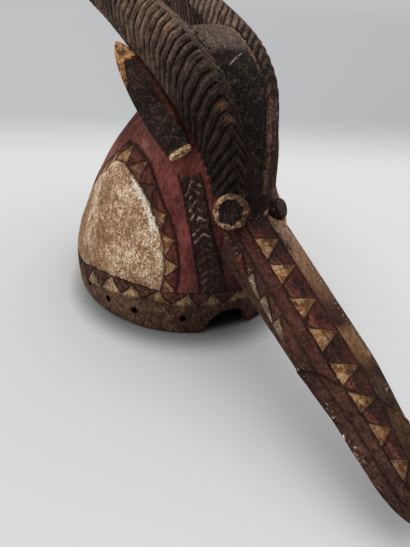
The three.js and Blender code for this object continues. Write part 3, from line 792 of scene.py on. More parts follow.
# The worn paint of the far facet, by the share of the muzzle's run from its root.
FACET_COLOURS = (
    (0.0, (198, 156, 130)), (0.26, (176, 136, 106)), (0.40, (132, 96, 72)), (0.45, (82, 47, 40)),
    (0.50, (80, 45, 39)), (0.535, (168, 126, 88)), (0.61, (142, 104, 72)), (0.645, (76, 50, 41)),
    (0.70, (112, 92, 74)), (0.735, (78, 54, 44)), (0.79, (128, 88, 54)), (0.85, (74, 52, 42)),
    (1.0, (60, 42, 35)),
)


def blend(pair, share):
    return pair[0] + (pair[1] - pair[0]) * share


def muzzle_section(u):
    """The corners' offsets to the left and depths below the band, at each share of the run."""
    into_tip = np.maximum(0, (u - (1 - MUZZLE_ROUNDED)) / MUZZLE_ROUNDED)
    rounded = np.sqrt(np.maximum(MUZZLE_BLUNT, 1 - into_tip ** 2))
    taper = np.minimum(1, u / (1 - MUZZLE_ROUNDED))
    half = blend(MUZZLE_HALF, smooth_step(u, *MUZZLE_NARROWS)) * rounded
    belly = blend(MUZZLE_DEEP, taper) * blend((MUZZLE_TIP_BELLY, 1), rounded)
    cheek = blend(MUZZLE_CHEEK, taper)
    swell = smooth_step(u, *MUZZLE_SWELLS[:2]) * (1 - smooth_step(u, *MUZZLE_SWELLS[2:]))
    far_half = half + MUZZLE_LEFT_SWELL * swell
    near_half = half - MUZZLE_RIGHT_TRIM * (1 - smooth_step(u, *MUZZLE_NARROWS))
    right, left = MUZZLE_BAND
    flank, shoulder = MUZZLE_FLANK
    low = np.minimum(MUZZLE_FLANK_DROP, cheek + MUZZLE_FLANK_PAST * rounded)
    level = np.zeros_like(u)
    below, deep = MUZZLE_BELLY[0] * half, MUZZLE_BELLY[1] * belly
    corners = (
        (right * half, level), (left * half, level), (far_half, level + MUZZLE_FACET_DROP),
        (far_half, cheek), (below, deep), (level, belly), (-below, deep),
        (-near_half, np.maximum(cheek, low)), (-near_half, low), (flank * half, level + shoulder))
    return np.array(corners), half


def split_section(corners, splits):
    """A closed outline, with each of its sides split into so many steps."""
    rows = []
    for corner, following, count in zip(corners, np.roll(corners, -1, 0), splits):
        rows += [corner + (following - corner) * step / count for step in range(count)]
    return np.array(rows)


def muzzle_grid():
    share = np.linspace(0, 1, MUZZLE_STATIONS)
    u = 1 - (1 - share) ** MUZZLE_CROWDED
    corners, half = muzzle_section(u)
    side, depth = split_section(corners, MUZZLE_SPLITS).transpose(1, 2, 0)
    along = MUZZLE_TIP - MUZZLE_ROOT
    down = Vector((along.z, 0, -along.x)).normalized()
    u = u[:, None]
    x = MUZZLE_ROOT.x + along.x * u + down.x * depth + MASK_SHIFT
    z = MUZZLE_ROOT.z + along.z * u + down.z * depth
    return np.stack([x, MUZZLE_DRIFT * u + side, z], -1), u, side / np.maximum(half[:, None], 1e-6), depth


def muzzle_marks(u, across, depth):
    """Where each point lies in the band, the flank and the split."""
    teeth = np.interp(u, np.ravel(BAND_TEETH), np.tile([0.0, 1.0, 0.0], len(BAND_TEETH)))
    on_top = depth < MUZZLE_FACET_DROP + 0.0005
    band_wide = (MUZZLE_BAND[1] - MUZZLE_BAND[0]) * (1 - BAND_NARROWER * smooth_step(u, *BAND_NARROWS))
    share = np.where(on_top, (across - MUZZLE_BAND[0]) / band_wide, OFF_BAND)
    in_band = (share > 0) & (share < 1) & (u > BAND_TEETH[0][0])
    zigzag = np.where(in_band, np.abs(share - teeth) * TOOTH_EDGE_MM, FAR_OFF_MM)
    borders = mark_distances(share, (0.0, 1.0)) * BAND_MM
    crack_u = np.interp(across, [v for _, v in CRACK], [c for c, _ in CRACK])
    on_show = on_top | ((across < CRACK_ON_FLANK[0]) & (depth < CRACK_ON_FLANK[1]))
    off_crack = np.abs(u - crack_u) * (MUZZLE_TIP - MUZZLE_ROOT).length * 1000 * CRACK_SLANT
    crack = np.where(on_show, off_crack, FAR_OFF_MM)
    return {
        "groove": np.minimum(np.minimum(zigzag, borders), crack) / 1000, "teeth": teeth, "share": share,
        "run": u, "crack": crack, "flank": (MUZZLE_FLANK[0] - across) * (across < 0), "below": depth,
    }


def band_paint(w, over, run):
    """Tall triangles in two ochres, between red ones that are dark with soot."""
    by_tooth = w.read("ShaderNodeTexNoise", {"W": run * 17.0}, noise_dimensions="1D")
    ochre = w.shade(by_tooth, 0.4, 0.6, (152, 104, 60), (166, 136, 104))
    ochre = w.shade(w.flake, 0.52, 0.42, ochre, (112, 74, 48))
    red = w.shade(w.blotch, 0.46, 0.62, (66, 40, 35), (104, 51, 46))
    red = w.shade(w.flake, 0.5, 0.38, red, (54, 37, 32))
    return w.shade(over, -0.04, 0.04, red, ochre)


def far_facet_paint(w, share, run):
    """Worn paint that changes along the facet, with dark blotches in it, and painted paler towards the far
    edge as a highlight.
    """
    along = w.add("ShaderNodeValToRGB", {"Fac": run + w.ragged * 0.05})
    stops = along.color_ramp.elements
    stops.remove(stops[1])
    stops[0].color = tone(*FACET_COLOURS[0][1])
    for position, colour in FACET_COLOURS[1:]:
        stops.new(position).color = tone(*colour)
    # Painted highlight: the paint is paler towards the facet's far edge.
    patches_and_lit_edge = w.blotch + (share - 1.3) * 0.35 + w.ragged * 0.5
    return w.shade(patches_and_lit_edge, 0.36, 0.5, (74, 52, 43), w.all_of(along)["Color"])


def flank_paint(w, over, run, patterned):
    """Low slanted triangles on a dark strip, the first of them red."""
    end = FLANK_FIRST + FLANK_TOOTH
    tooth = w.shade(run, end + 0.003, end - 0.003, (150, 124, 104), (124, 62, 54))
    strip = w.shade(w.blotch, 0.42, 0.6, (72, 46, 40), (94, 58, 50))
    return w.mix(w.ramp(over, -0.06, 0.06) * patterned, strip, tooth)


def muzzle_material():
    """The painted band, the worn far facet and the near flank, cut along their borders."""
    w = Wood("muzzle_paint", 0.3, 0.6)
    share = w.attribute("share") + w.ragged * 0.25
    over = w.attribute("teeth") - share
    run = w.attribute("run")
    flank = w.attribute("flank")
    shoulder = MUZZLE_FLANK[1]
    down = (w.attribute("below") - shoulder) / (FLANK_DEEP - shoulder) + w.ragged * 0.3
    phase = (run - FLANK_FIRST) / FLANK_TOOTH
    flank_over = down - (w.math("FRACT", phase) * FLANK_SLANT + FLANK_TEETH_INSET)
    patterned = w.ramp(run, 0.5, 0.44) * w.ramp(run, FLANK_FIRST - 0.01, FLANK_FIRST)
    on_flank = w.ramp(flank, 0.0, 0.02)
    colour = w.shade(share, -0.05, 0.03, (76, 44, 38), band_paint(w, over, run))
    colour = w.shade(share, 0.97, 1.05, colour, far_facet_paint(w, share, run))
    colour = w.mix(on_flank, colour, flank_paint(w, flank_over, run, patterned))
    colour = w.shade(down, 0.96, 1.04, colour, (82, 60, 48))
    colour = w.mix(w.ramp(run, 0.55, 0.9) * 0.5, colour, (58, 42, 36))
    flecks = w.ramp(w.fine, 0.57, 0.63) * w.ramp(w.flake, 0.5, 0.57)
    # Pale flecks along both silhouettes: partly clay paint, partly a painted highlight where the edge
    # catches light.
    fleck_edges_and_highlight = w.most(w.ramp(down, 0.35, 0.62) * w.ramp(down, 1.1, 0.8), w.ramp(share, 1.45, 1.65) * 0.8)
    colour = w.mix(flecks * fleck_edges_and_highlight, colour, KAOLIN)
    in_band = w.ramp(share, -0.02, 0.02) * w.ramp(share, 1.02, 0.98)
    begun = w.ramp(run, BAND_TEETH[0][0] - 0.006, BAND_TEETH[0][0])
    crossing = w.most(w.near(flank_over, 0.1), w.ramp(w.wave(phase), 0.92, 0.97))
    cuts = w.most(
        w.near(share, 0.045), w.near(share - 1.0, 0.045), in_band * begun * w.near(over, 0.11),
        w.near(w.attribute("crack"), 0.85), w.near(flank, 0.05) * 0.6,
        crossing * patterned * on_flank * w.ramp(down, 1.04, 0.98))
    return w.finish(colour, worn=0.25, dirty=0.62, dusty=0.16, bump=0.001, line=cuts * 0.9)


def make_muzzle():
    grid, u, across, depth = muzzle_grid()
    paint = muzzle_material()
    piece = mesh_piece("muzzle", grid, muzzle_marks(u, across, depth), paint)
    return carved_by(piece, INCISING, MUZZLE_CARVING, paint)


muzzle = make_muzzle()

# Horns. Two long horns rise from the brow and sweep back side by side, cut all
# along with close ribs that meet as chevrons on the ridge, and blackened.
HORN = np.array([
    # x, y of the left horn, z, depth, width
    (0.143, 0.015, 0.148, 0.050, 0.034),
    (0.139, 0.017, 0.190, 0.054, 0.040),
    (0.121, 0.020, 0.223, 0.057, 0.046),
    (0.084, 0.025, 0.252, 0.057, 0.048),
    (0.000, 0.031, 0.281, 0.053, 0.047),
    (-0.100, 0.038, 0.304, 0.043, 0.040),
    (-0.190, 0.045, 0.311, 0.029, 0.028),
    (-0.262, 0.050, 0.300, 0.019, 0.018),
])
HORN_SECTION = np.array([
    # share of the depth, share of the width away from the middle
    (0.0, 0.1), (0.1, 0.29), (0.34, 0.47), (0.64, 0.5), (0.9, 0.3), (1.0, 0.02), (0.86, -0.26),
    (0.52, -0.38), (0.2, -0.34), (0.08, -0.16),
])
LEFT_HORN_IN = 0.0045
LEFT_ROOT_IN = 0.0045
LEFT_ROOT_RUNS = (0.040, 0.100)
LEFT_RIBS_BEGIN = (0.050, 0.110)
HORN_SPLITS = (5, 6, 5, 4, 3, 3, 4, 5, 4, 5)
HORN_CORE = (0.5, 0.06)
HORN_BLUNT = 0.016
HORN_TIP_SHARE = 0.1
HORN_STATIONS = 300
RIDGE_STEPS = 200
RIB_PITCH = 0.0105
RIB_DEPTH = 0.0030
RIB_DEPTH_LEFT = 0.0018
CHEVRON_OUTER = 0.12
CHEVRON_ROOT = 1.0
CHEVRON_INNER = 1.3
CHEVRON_CURL = 8.0
RIBS_FADE_IN = 0.012
RIBS_FADE_OUT = 0.040
RIBS_UNEVEN = 0.5

# Places on the right horn where the black is worn to the wood: the distance along
# the ridge, the distance round from it, and the size.
HORN_WORN_SPOTS = ((0.0696, 0.0040, 0.0050), (0.0599, 0.0020, 0.0042), (0.1569, 0.0085, 0.0045),
                   (0.2055, 0.0130, 0.0050))

HORN_ROWS = np.pad(HORN[:, :3], ((1, 1), (0, 0)), mode="reflect", reflect_type="odd")
RIDGE, RIDGE_ROWS = smooth_curve(HORN_ROWS, RIDGE_STEPS, 0.5)
RIDGE_DISTANCE = np.append(0, np.cumsum(np.linalg.norm(np.diff(RIDGE, axis=0), axis=1)))
HORN_LENGTH = RIDGE_DISTANCE[-1]


def ridge_at(distance):
    """Place, inward direction, depth and width of the horn at each distance."""
    def read(values, at=RIDGE_DISTANCE, places=distance):
        return np.stack([np.interp(places, at, column) for column in values.T], -1)
    tangent = read(np.gradient(RIDGE, RIDGE_DISTANCE, axis=0))
    inward = np.stack([-tangent[:, 2], 0 * tangent[:, 0], tangent[:, 0]], -1)
    inward /= np.linalg.norm(inward, axis=1, keepdims=True)
    row = np.interp(distance, RIDGE_DISTANCE, RIDGE_ROWS)
    deep, wide = read(HORN[:, 3:], np.arange(len(HORN)), row).T
    return read(RIDGE), inward, deep, wide


def along_horn(place, inward, depth, y):
    """The grid of points at each depth below the ridge, and y to the left."""
    x = place[:, :1] + inward[:, :1] * depth + MASK_SHIFT
    return np.stack([x, y, place[:, 2:] + inward[:, 2:] * depth], -1)


def horn_grid(side):
    """The rings of one horn, with the distance round from the ridge on both its faces."""
    distance = np.linspace(0, HORN_LENGTH, HORN_STATIONS)
    place, inward, deep, wide = ridge_at(distance)
    section = split_section(HORN_SECTION, HORN_SPLITS)
    into_tip = np.clip((distance - HORN_LENGTH + HORN_BLUNT) / HORN_BLUNT, 0, 1)
    drawn = np.sqrt(np.maximum(HORN_TIP_SHARE, 1 - into_tip ** 2))[:, None]
    depth = (HORN_CORE[0] + (section[:, 0] - HORN_CORE[0]) * drawn) * deep[:, None]
    out = (HORN_CORE[1] + (section[:, 1] - HORN_CORE[1]) * drawn) * wide[:, None]
    moved_in = LEFT_HORN_IN + LEFT_ROOT_IN * (1 - smooth_step(distance, *LEFT_ROOT_RUNS))
    y = side * (place[:, 1:2] + out) - (moved_in[:, None] if side > 0 else 0)
    grid = along_horn(place, inward, depth, y)
    fade = np.minimum(1, np.minimum(distance / RIBS_FADE_IN, (HORN_LENGTH - distance) / RIBS_FADE_OUT))
    begun = smooth_step(distance, *LEFT_RIBS_BEGIN) if side > 0 else np.ones_like(distance)
    steps = np.hypot(np.diff(depth, axis=1), np.diff(out, axis=1))
    last = np.hypot(depth[:, :1] - depth[:, -1:], out[:, :1] - out[:, -1:])
    outside = np.concatenate([np.zeros_like(last), np.cumsum(steps, 1)], 1)
    inside = np.concatenate([steps, last], 1)[:, ::-1].cumsum(1)[:, ::-1]
    is_outside = np.arange(len(section)) <= sum(HORN_SPLITS[:5])
    marks = {
        "distance": distance[:, None], "around": np.where(is_outside, outside, -inside),
        "fade": (fade * begun)[:, None], "rubbed": 1 - begun[:, None],
        "near": np.full_like(fade[:, None], side < 0),
    }
    if side > 0:
        return grid, marks
    return grid[:, ::-1], {mark: values[:, ::-1] for mark, values in marks.items()}


def ribbing_tree():
    """Rounded ribs across a horn, trailing away from the ridge on both of its faces."""
    w, given = geometry_tree("ribs", {
        "Pitch": 0.0105, "Depth": 0.0024, "Outer Slope": 0.2, "Root Slope": 0.7, "Root Length": 0.12,
        "Inner Slope": 0.9, "Curl": 8.0, "Unevenness": 0.2})
    around = stored(w, "around")
    distance = stored(w, "distance")
    outer = w.most(around, 0.0)
    inner = w.most(around * -1.0, 0.0)
    slope = w.ramp(distance, 0.0, given["Root Length"], given["Root Slope"], given["Outer Slope"])
    lag = outer * slope + inner * given["Inner Slope"] + outer * outer * given["Curl"]
    uneven = (w.noise(45.0, 1.0) - 0.5) * given["Unevenness"]
    count = (distance + lag) / given["Pitch"] + uneven
    sunk = (1.0 - w.wave(count)) ** 3.0 * -1.0 * given["Depth"] * stored(w, "fade")
    kept = w.read("GeometryNodeStoreNamedAttribute", {
        "Geometry": pushed_out(w, given["Geometry"], sunk), "Name": "count", "Value": count},
        data_type="FLOAT", domain="POINT")
    return close_tree(w, kept, given["Finish"])


def horn_material():
    """Soot on ribs whose crests are rubbed brown and painted paler as a highlight, with wear on the edge and
    in spots.
    """
    w = Wood("horn_black", 0.4, 0.7)
    distance, around, smooth_root = (w.attribute(name) for name in ("distance", "around", "rubbed"))
    wavy = w.attribute("count") + w.ragged * 0.3
    from_cut = w.wave(wavy)
    ribbed = w.ramp(w.attribute("fade"), 0.0, 0.4)
    cut = w.ramp(from_cut, 0.26, 0.04) * ribbed
    scratch = w.ramp(abs(from_cut - 0.62), 0.09, 0.02) * 0.5 * ribbed
    along_rib = w.read("ShaderNodeCombineXYZ", {0: wavy * 5.0, 1: around * 90.0})
    # The ribs' crests are paler: partly rubbed brown, partly a painted highlight.
    crest_rub_and_highlight = w.ramp(from_cut, 0.22, 0.6) * w.ramp(w.noise(1.0, 3.0, Vector=along_rib), 0.36, 0.62)
    brown = w.shade(w.blotch, 0.42, 0.62, (54, 42, 37), (84, 66, 56))
    colour = w.mix(crest_rub_and_highlight * 0.9, brown, (140, 116, 100))
    colour = w.shade(distance, 0.165, 0.070, colour, (27, 22, 20))
    colour = w.mix(crest_rub_and_highlight * w.ramp(distance, 0.062, 0.15, 0.4, 0.0), colour, (84, 68, 60))
    browned = w.ramp(around, -0.0045, -0.003) * smooth_root
    colour = w.mix(browned * 0.7, colour, (54, 41, 36))
    uneven = w.ragged * 0.016
    worn_edge = w.ramp(abs(around + 0.0032) + uneven, 0.0018, 0.0004) * smooth_root
    colour = w.mix(worn_edge * 0.6, colour, (128, 94, 76))
    scuffed = smooth_root * w.ramp(w.flake, 0.56, 0.64)
    colour = w.mix(scuffed * 0.55, colour, (150, 132, 116))
    near_side = w.attribute("near")
    for run, side, reach in HORN_WORN_SPOTS:
        away = w.vector("LENGTH", w.read("ShaderNodeCombineXYZ", {0: distance - run, 1: around - side}))
        spot = w.ramp(away + uneven * 2.2, reach * 1.3, reach * 0.2) * near_side
        colour = w.mix(spot * 0.6, colour, (140, 100, 68))
    return w.finish(colour, worn=0.17, dirty=0.6, dusty=0.25, bump=0.0009, line=w.most(cut, scratch),
                    wood=(150, 98, 60), gritty=0.8)


HORN_BLACK = horn_material()
RIBBING = ribbing_tree()


def make_horn(name, side, pitch, depth):
    grid, marks = horn_grid(side)
    piece = mesh_piece(name, grid, marks, HORN_BLACK)
    return carved_by(piece, RIBBING, {
        "Pitch": HORN_LENGTH / math.floor(HORN_LENGTH / pitch), "Depth": depth,
        "Outer Slope": CHEVRON_OUTER, "Root Slope": CHEVRON_ROOT, "Inner Slope": CHEVRON_INNER,
        "Curl": CHEVRON_CURL, "Unevenness": RIBS_UNEVEN}, HORN_BLACK)


horns = [
    make_horn("horn_right", -1, RIB_PITCH, RIB_DEPTH),
    make_horn("horn_left", 1, RIB_PITCH, RIB_DEPTH_LEFT),
]

# Web. A smooth plate of the same wood fills the gap between the horns over the
# forehead and ends as the horns part. It is black, and worn along its far edge.
WEB_FAR_EDGE = 0.0188
WEB_NEAR_INSET = 0.005
WEB_WORN = (0.012, 0.015)
WEB_DEEP = 0.034
WEB_SUNK = 0.0035
WEB_SUNK_NEAR = 0.0045
WEB_SUNK_RUNS = (0.070, 0.130)
WEB_CROWN = 0.0030
WEB_DUSTY = (0.129, 0.141)
WEB_START = 0.008
WEB_END = 0.335
WEB_ROUNDED = 0.010
WEB_ROUNDED_LATE = 8
WEB_STATIONS = 90
WEB_SIDES_ACROSS = 12
WEB_SIDES_DEEP = 5


def web_material():
    w = Wood("web_black", 0.4, 0.7)
    along = w.attribute("distance") + w.blotch * 0.03
    black = w.shade(along, *WEB_DUSTY, (21, 16, 15), (90, 75, 66))
    worn = w.ramp(w.attribute("edge") + w.ragged * 1.8, 0.45, 0.8)
    colour = w.mix(worn * w.ramp(along, 0.055, 0.095, 0.15, 0.8), black, (152, 114, 86))
    bright = w.ramp(w.attribute("scratch"), 0.0011, 0.0003) * w.ramp(w.fine, 0.4, 0.5)
    colour = w.mix(bright * 0.6, colour, (176, 168, 158))
    return w.finish(colour, worn=0.05, dirty=0.5, dusty=0.2, bump=0.0008,
                    line=w.near(w.attribute("crack"), 0.0009), wood=(120, 86, 62), gritty=1.3)


WEB_BLACK = web_material()

# A pale scratch and a short crack, each from one place to another: the distance
# along the horns' ridge and the offset to the left of the middle.
WEB_MARKS = {"scratch": ((0.104, -0.010), (0.114, 0.006)), "crack": ((0.084, -0.012), (0.084, 0.004))}


def distance_to_stroke(run, y, start, end):
    start, end = np.array(start), np.array(end)
    span = end - start
    share = np.clip(((run - start[0]) * span[0] + (y - start[1]) * span[1]) / span.dot(span), 0, 1)
    return np.hypot(run - start[0] - share * span[0], y - start[1] - share * span[1])


def make_web():
    share = np.linspace(0, 1, WEB_STATIONS)
    distance = HORN_LENGTH * (WEB_START + (WEB_END - WEB_START) * np.sin(share * math.pi / 2))
    place, inward, _, _ = ridge_at(distance)
    corners = np.array([(0, -1), (0, 1), (1, 1), (1, -1)], float)
    outline = split_section(corners, (WEB_SIDES_ACROSS, WEB_SIDES_DEEP) * 2)
    down, across = outline.T
    crown = WEB_CROWN * (1 - across ** 2) * (1 - down)
    sunk = (WEB_SUNK + WEB_ROUNDED * share ** WEB_ROUNDED_LATE)[:, None]
    sunk_near = (WEB_SUNK_NEAR * (1 - smooth_step(distance, *WEB_SUNK_RUNS)))[:, None]
    sunk = sunk + sunk_near * (1 - across) / 2
    depth = sunk + (WEB_DEEP - sunk) * down - crown
    near_edge = -(place[:, 1] - WEB_NEAR_INSET)[:, None]
    y = near_edge + (WEB_FAR_EDGE - near_edge) * (1 + across) / 2
    run = distance[:, None]
    marks = {"edge": smooth_step(y, *WEB_WORN), "distance": run}
    for mark, (start, end) in WEB_MARKS.items():
        marks[mark] = distance_to_stroke(run, y, start, end)
    return mesh_piece("web", along_horn(place, inward, depth, y), marks, WEB_BLACK)


web = make_web()

# Ears. Each is a long pointed leaf laid back under its horn, carved with the head
# and blackened. Its tip is rubbed down to the wood and its foot shows end grain.
EAR_ROOT = Vector((0.1045, 0.0492, 0.176))
EAR_TIP = Vector((-0.011, 0.058, 0.241))
LEFT_EAR_SET_BACK = Vector((-0.018, -0.004, 0.002))
EAR_FACING = Vector((0.43, 0.54, 0.73))
EAR_HALF_WIDTH = 0.0135
EAR_HALF_THICK = 0.006
EAR_ROOT_THIN = 0.62
EAR_THIN_UP_TO = 0.25
EAR_ENDS_THIN = 0.45
EAR_BLUNT = 0.015
EAR_WIDEST = 0.42
EAR_TAPER = 0.585
EAR_STATIONS = 70
EAR_SIDES = 32


def ear_material():
    """Black with a red edge, a bare ochre tip and end grain at the cut foot."""
    w = Wood("ear_wood", 0.4, 0.7)
    run = w.attribute("run") + w.ragged * 0.2
    side = w.attribute("side")
    tan = w.shade(w.flake, 0.42, 0.56, (128, 82, 50), (206, 150, 98))
    spot = w.ramp(abs(run - 0.885), 0.05, 0.02) * w.ramp(abs(side), 0.6, 0.3)
    tan = w.mix(spot * 0.75, tan, (58, 42, 32))
    dark = w.shade(w.blotch, 0.42, 0.6, (23, 17, 16), (42, 30, 26))
    reddened = w.ramp(side, 0.45, 0.8) * w.ramp(run, 0.15, 0.3)
    dark = w.mix(reddened * 0.8, dark, (98, 56, 46))
    tip_from = w.ramp(side, -1.0, -0.1, 0.62, 0.80)
    colour = w.shade(run - tip_from, -0.02, 0.02, dark, tan)
    end_grain = w.shade(w.fine, 0.42, 0.55, (120, 84, 60), (208, 174, 134))
    colour = w.shade(w.attribute("run"), 0.030, 0.020, colour, end_grain)
    return w.finish(colour, worn=0.12, dirty=0.55, dusty=0.25, bump=0.0009, wood=(132, 90, 60), gritty=1.2)


EAR_WOOD = ear_material()


def make_ear(name, side):
    def mirrored(v):
        return np.array((v.x, side * v.y, v.z))
    shift = mirrored(LEFT_EAR_SET_BACK) if side > 0 else np.zeros(3)
    root = mirrored(EAR_ROOT) + shift
    tip = mirrored(EAR_TIP) + shift
    facing = mirrored(EAR_FACING)
    along = (tip - root) / np.linalg.norm(tip - root)
    facing = facing - along * facing.dot(along)
    facing /= np.linalg.norm(facing)
    across = np.cross(along, facing)
    u = np.linspace(0, 1, EAR_STATIONS)[:, None]
    leaf = np.sqrt(np.maximum(EAR_BLUNT, 1 - ((u - EAR_WIDEST) / EAR_TAPER) ** 2))
    turn = turns(EAR_SIDES)
    thinning = blend((EAR_ROOT_THIN, 1), smooth_step(u, 0, EAR_THIN_UP_TO)) * blend((EAR_ENDS_THIN, 1), leaf)
    width = EAR_HALF_WIDTH * leaf * np.cos(turn)
    thick = EAR_HALF_THICK * thinning * np.sin(turn)
    grid = root + (tip - root) * u[..., None] + width[..., None] * across + thick[..., None] * facing
    grid[..., 0] += MASK_SHIFT
    return mesh_piece(name, grid, {"run": u, "side": np.cos(turn)}, EAR_WOOD)


ears = [make_ear("ear_right", -1), make_ear("ear_left", 1)]

# Eyes. Each is a round knob carved with the brow, with a worn pale rim round a
# shallow dark dish. The left one is smaller, lower and sooty.
EYES = (
    # name, centre, facing, radius, length
    ("eye_right", (0.158, -0.034, 0.1475), (0.72, -0.53, 0.44), 0.0137, 0.034),
    ("eye_left", (0.138, 0.033, 0.130), (0.66, 0.66, 0.36), 0.0094, 0.028),
)
EYE_BACK_RIM = 0.4
EYE_BEVEL = 0.0055
EYE_BEVEL_FROM = (1.3, 0.6)
EYE_BEVEL_STEPS = 8
EYE_DISH = 0.0008
EYE_DISH_RINGS = (0.85, 0.6, 0.35, 0.02)
EYE_SIDES = 48


def eye_material():
    """A dark dish in a rim of bare wood, which is orange to one side and sooty above."""
    w = Wood("eye_wood", 0.7, 0.7)
    sidewards = w.attribute("sidewards")
    upwards = w.attribute("upwards")
    uneven = w.ragged * 2.4 + w.by_hand * 1.6 + upwards * 0.3
    rubbed = w.shade(w.grain, 0.42, 0.58, (108, 80, 64), (170, 134, 106))
    orange = w.shade(w.flake, 0.48, 0.60, (60, 42, 34), (160, 112, 74))
    worn = w.shade(sidewards, 0.1, -0.5, rubbed, orange)
    blackened = w.ramp(upwards - sidewards + uneven * 0.5, 0.75, 1.25, 0.0, 0.75)
    worn = w.mix(w.most(w.attribute("sooty"), blackened), worn, (62, 46, 40))
    face = w.shade(w.blotch, 0.4, 0.6, (20, 15, 14), (36, 28, 27))
    colour = w.shade(w.attribute("rim") + uneven, 0.42, 0.72, face, worn)
    return w.finish(colour, worn=0.05, dirty=0.4, dusty=0.2, bump=0.0009, gritty=1.3)


EYE_WOOD = eye_material()


def make_eye(name, centre, facing, radius, length):
    facing = Vector(facing).normalized()
    first = facing.orthogonal().normalized()
    facing, first, second = (np.array(v) for v in (facing, first, facing.cross(first)))
    profile = [(radius, -length * share, EYE_BACK_RIM) for share in (1, 0.5)]
    profile.append((radius, -EYE_BEVEL * EYE_BEVEL_FROM[0], EYE_BEVEL_FROM[1]))
    for turn in np.linspace(0, math.pi / 2, EYE_BEVEL_STEPS + 1):
        profile.append((radius - EYE_BEVEL * (1 - math.cos(turn)), -EYE_BEVEL * (1 - math.sin(turn)),
                        math.sin(2 * turn) ** 0.5))
    for share in EYE_DISH_RINGS:
        profile.append(((radius - EYE_BEVEL) * share, -EYE_DISH * (1 - share ** 2), 0))
    reach, depth, rim = np.array(profile).T[..., None, None]
    turn = turns(EYE_SIDES)[:, None]
    grid = np.array(centre) + depth * facing + reach * (np.cos(turn) * first + np.sin(turn) * second)
    grid[..., 0] += MASK_SHIFT
    is_right = centre[1] < 0
    marks = {
        "rim": rim[..., 0], "sidewards": (grid[..., 1] - centre[1]) / radius * (-1 if is_right else 1),
        "upwards": (grid[..., 2] - centre[2]) / radius, "sooty": np.array(0.0 if is_right else 1.0)}
    return mesh_piece(name, grid, marks, EYE_WOOD)


eyes = [make_eye(*eye) for eye in EYES]

# Hollow. The bell is dug out from below, with an arched notch in front so that it
# clears the wearer's face, and small holes in the rim that held a fibre fringe.
HOLLOW_RINGS = 40
HOLLOW_SIDES = 120
HOLLOW_CLOSES_FROM = 0.72
HOLLOW_CLOSING = 0.26
UNDERCUT = 0.002
NOTCH_CENTRE_Y = -0.0085
NOTCH_HALF_WIDTH = 0.0245
NOTCH_HEIGHT = 0.027
NOTCH_FOOT = 0.002
NOTCH_FROM_TO = (0.090, 0.150)
NOTCH_SIDES = 40
FRINGE_RADIUS = 0.0033
FRINGE_HEIGHT = 0.020
FRINGE_DEPTH = 0.044
FRINGE_SIDES = 16
# The holes' walls are painted near black, a painted shade deep in the holes.
HOLE_SHADE = (20, 14, 12)
FRINGE_DEGREES = (-26, -49, -64, -80, -97, -115, -133, -150, -169, 173, 155, 138, 120, 103, 87, 70, 52, 30)


def inside_material():
    w = Wood("bare_inside", 1.0, 0.3)
    colour = w.mix(w.blotch, (70, 50, 38), (120, 88, 62))
    return w.finish(colour, worn=0.2, dirty=0.5, dusty=0.2, bump=0.0012)


BARE_INSIDE = inside_material()


def make_hollow():
    share = np.linspace(0, 1, HOLLOW_RINGS)
    wall = WALL_RIM + (WALL_TOP - WALL_RIM) * share
    closing = HOLLOW_CLOSING * np.maximum(0, share - HOLLOW_CLOSES_FROM) ** 2
    heights = np.append(-UNDERCUT, HOLLOW_TOP * share)
    inset = np.append(WALL_RIM, wall + closing)
    grid, _ = dome_grid(heights, HOLLOW_SIDES, inset)
    return mesh_piece("hollow", grid, {}, BARE_INSIDE)


def make_notch():
    turn = np.linspace(0, math.pi, NOTCH_SIDES)
    y = np.concatenate([[-1, 1], np.cos(turn)]) * NOTCH_HALF_WIDTH + NOTCH_CENTRE_Y
    arched = NOTCH_FOOT + np.sin(turn) * (NOTCH_HEIGHT - NOTCH_FOOT)
    z = np.concatenate([[-2 * UNDERCUT] * 2, arched])
    grid = np.stack([np.stack([np.full_like(y, x + MASK_SHIFT), y, z], -1) for x in NOTCH_FROM_TO])
    return mesh_piece("notch", grid, {}, BARE_INSIDE)


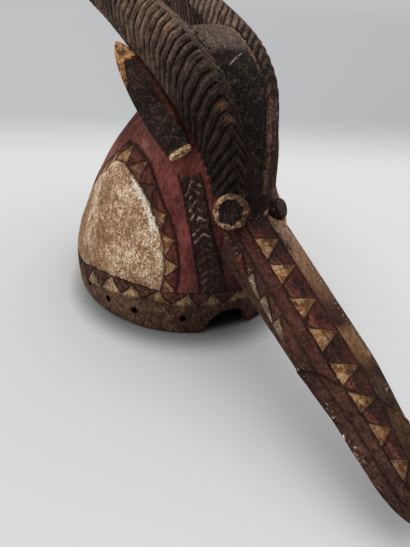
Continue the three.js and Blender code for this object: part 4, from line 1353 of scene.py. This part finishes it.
def drilling_tree():
    """A round drill standing at each point, along the direction stored there."""
    w, given = geometry_tree("fringe_holes", {"Radius": 0.002, "Depth": 0.04})
    drill = w.read("GeometryNodeMeshCylinder", {
        "Vertices": FRINGE_SIDES, "Radius": given["Radius"], "Depth": given["Depth"]}, output="Mesh")
    aim = w.read("FunctionNodeAlignRotationToVector", {
        "Vector": stored(w, "outward", "FLOAT_VECTOR")}, axis="Z")
    placed = w.read("GeometryNodeInstanceOnPoints", {
        "Points": given["Geometry"], "Instance": drill, "Rotation": aim})
    return close_tree(w, placed, given["Finish"])


# Painted shade: the holes' walls, near black.
def hole_shade_material():
    w = Material("burnt_hole")
    return w.closed(w.read("ShaderNodeBsdfDiffuse", {"Color": tone(*HOLE_SHADE)}))


def make_drills():
    front, back, half, _ = (v[0] for v in dome_at(np.array([FRINGE_HEIGHT])))
    turn = np.radians(FRINGE_DEGREES)
    reach = (front - back) / 2
    level = np.full_like(turn, FRINGE_HEIGHT)
    x = (front + back) / 2 + reach * np.cos(turn) + MASK_SHIFT
    outward = np.stack([np.cos(turn) / reach, np.sin(turn) / half, 0 * turn], -1)
    mesh = bpy.data.meshes.new("drills")
    mesh.from_pydata(np.stack([x, half * np.sin(turn), level], -1).tolist(), [], [])
    layer = mesh.attributes.new("outward", "FLOAT_VECTOR", "POINT")
    layer.data.foreach_set("vector", outward.astype(np.float32).ravel())
    return carved_by(shown("drills", mesh), drilling_tree(), {
        "Radius": FRINGE_RADIUS, "Depth": FRINGE_DEPTH}, hole_shade_material())


def joined(body, others, operation):
    """The body with the others added to it or cut from it, which are then removed."""
    for other in others:
        step = body.modifiers.new(other.name, "BOOLEAN")
        step.operation = operation
        step.solver = "MANIFOLD"
        step.material_mode = "TRANSFER"
        step.object = other
    apply_modifiers(body)
    for other in others:
        bpy.data.objects.remove(other)
    return body


SHARP_DEGREES = 42
mask = joined(dome, [muzzle, web] + horns + ears + eyes, "UNION")
mask = joined(mask, [make_hollow(), make_notch(), make_drills()], "DIFFERENCE")
mask.name = "carved_mask"
mask.data.name = "carved_mask"
mask.data.shade_smooth()
mask.data.set_sharp_from_angle(angle=math.radians(SHARP_DEGREES))
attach(mask, "root")
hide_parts("antelope_mask")
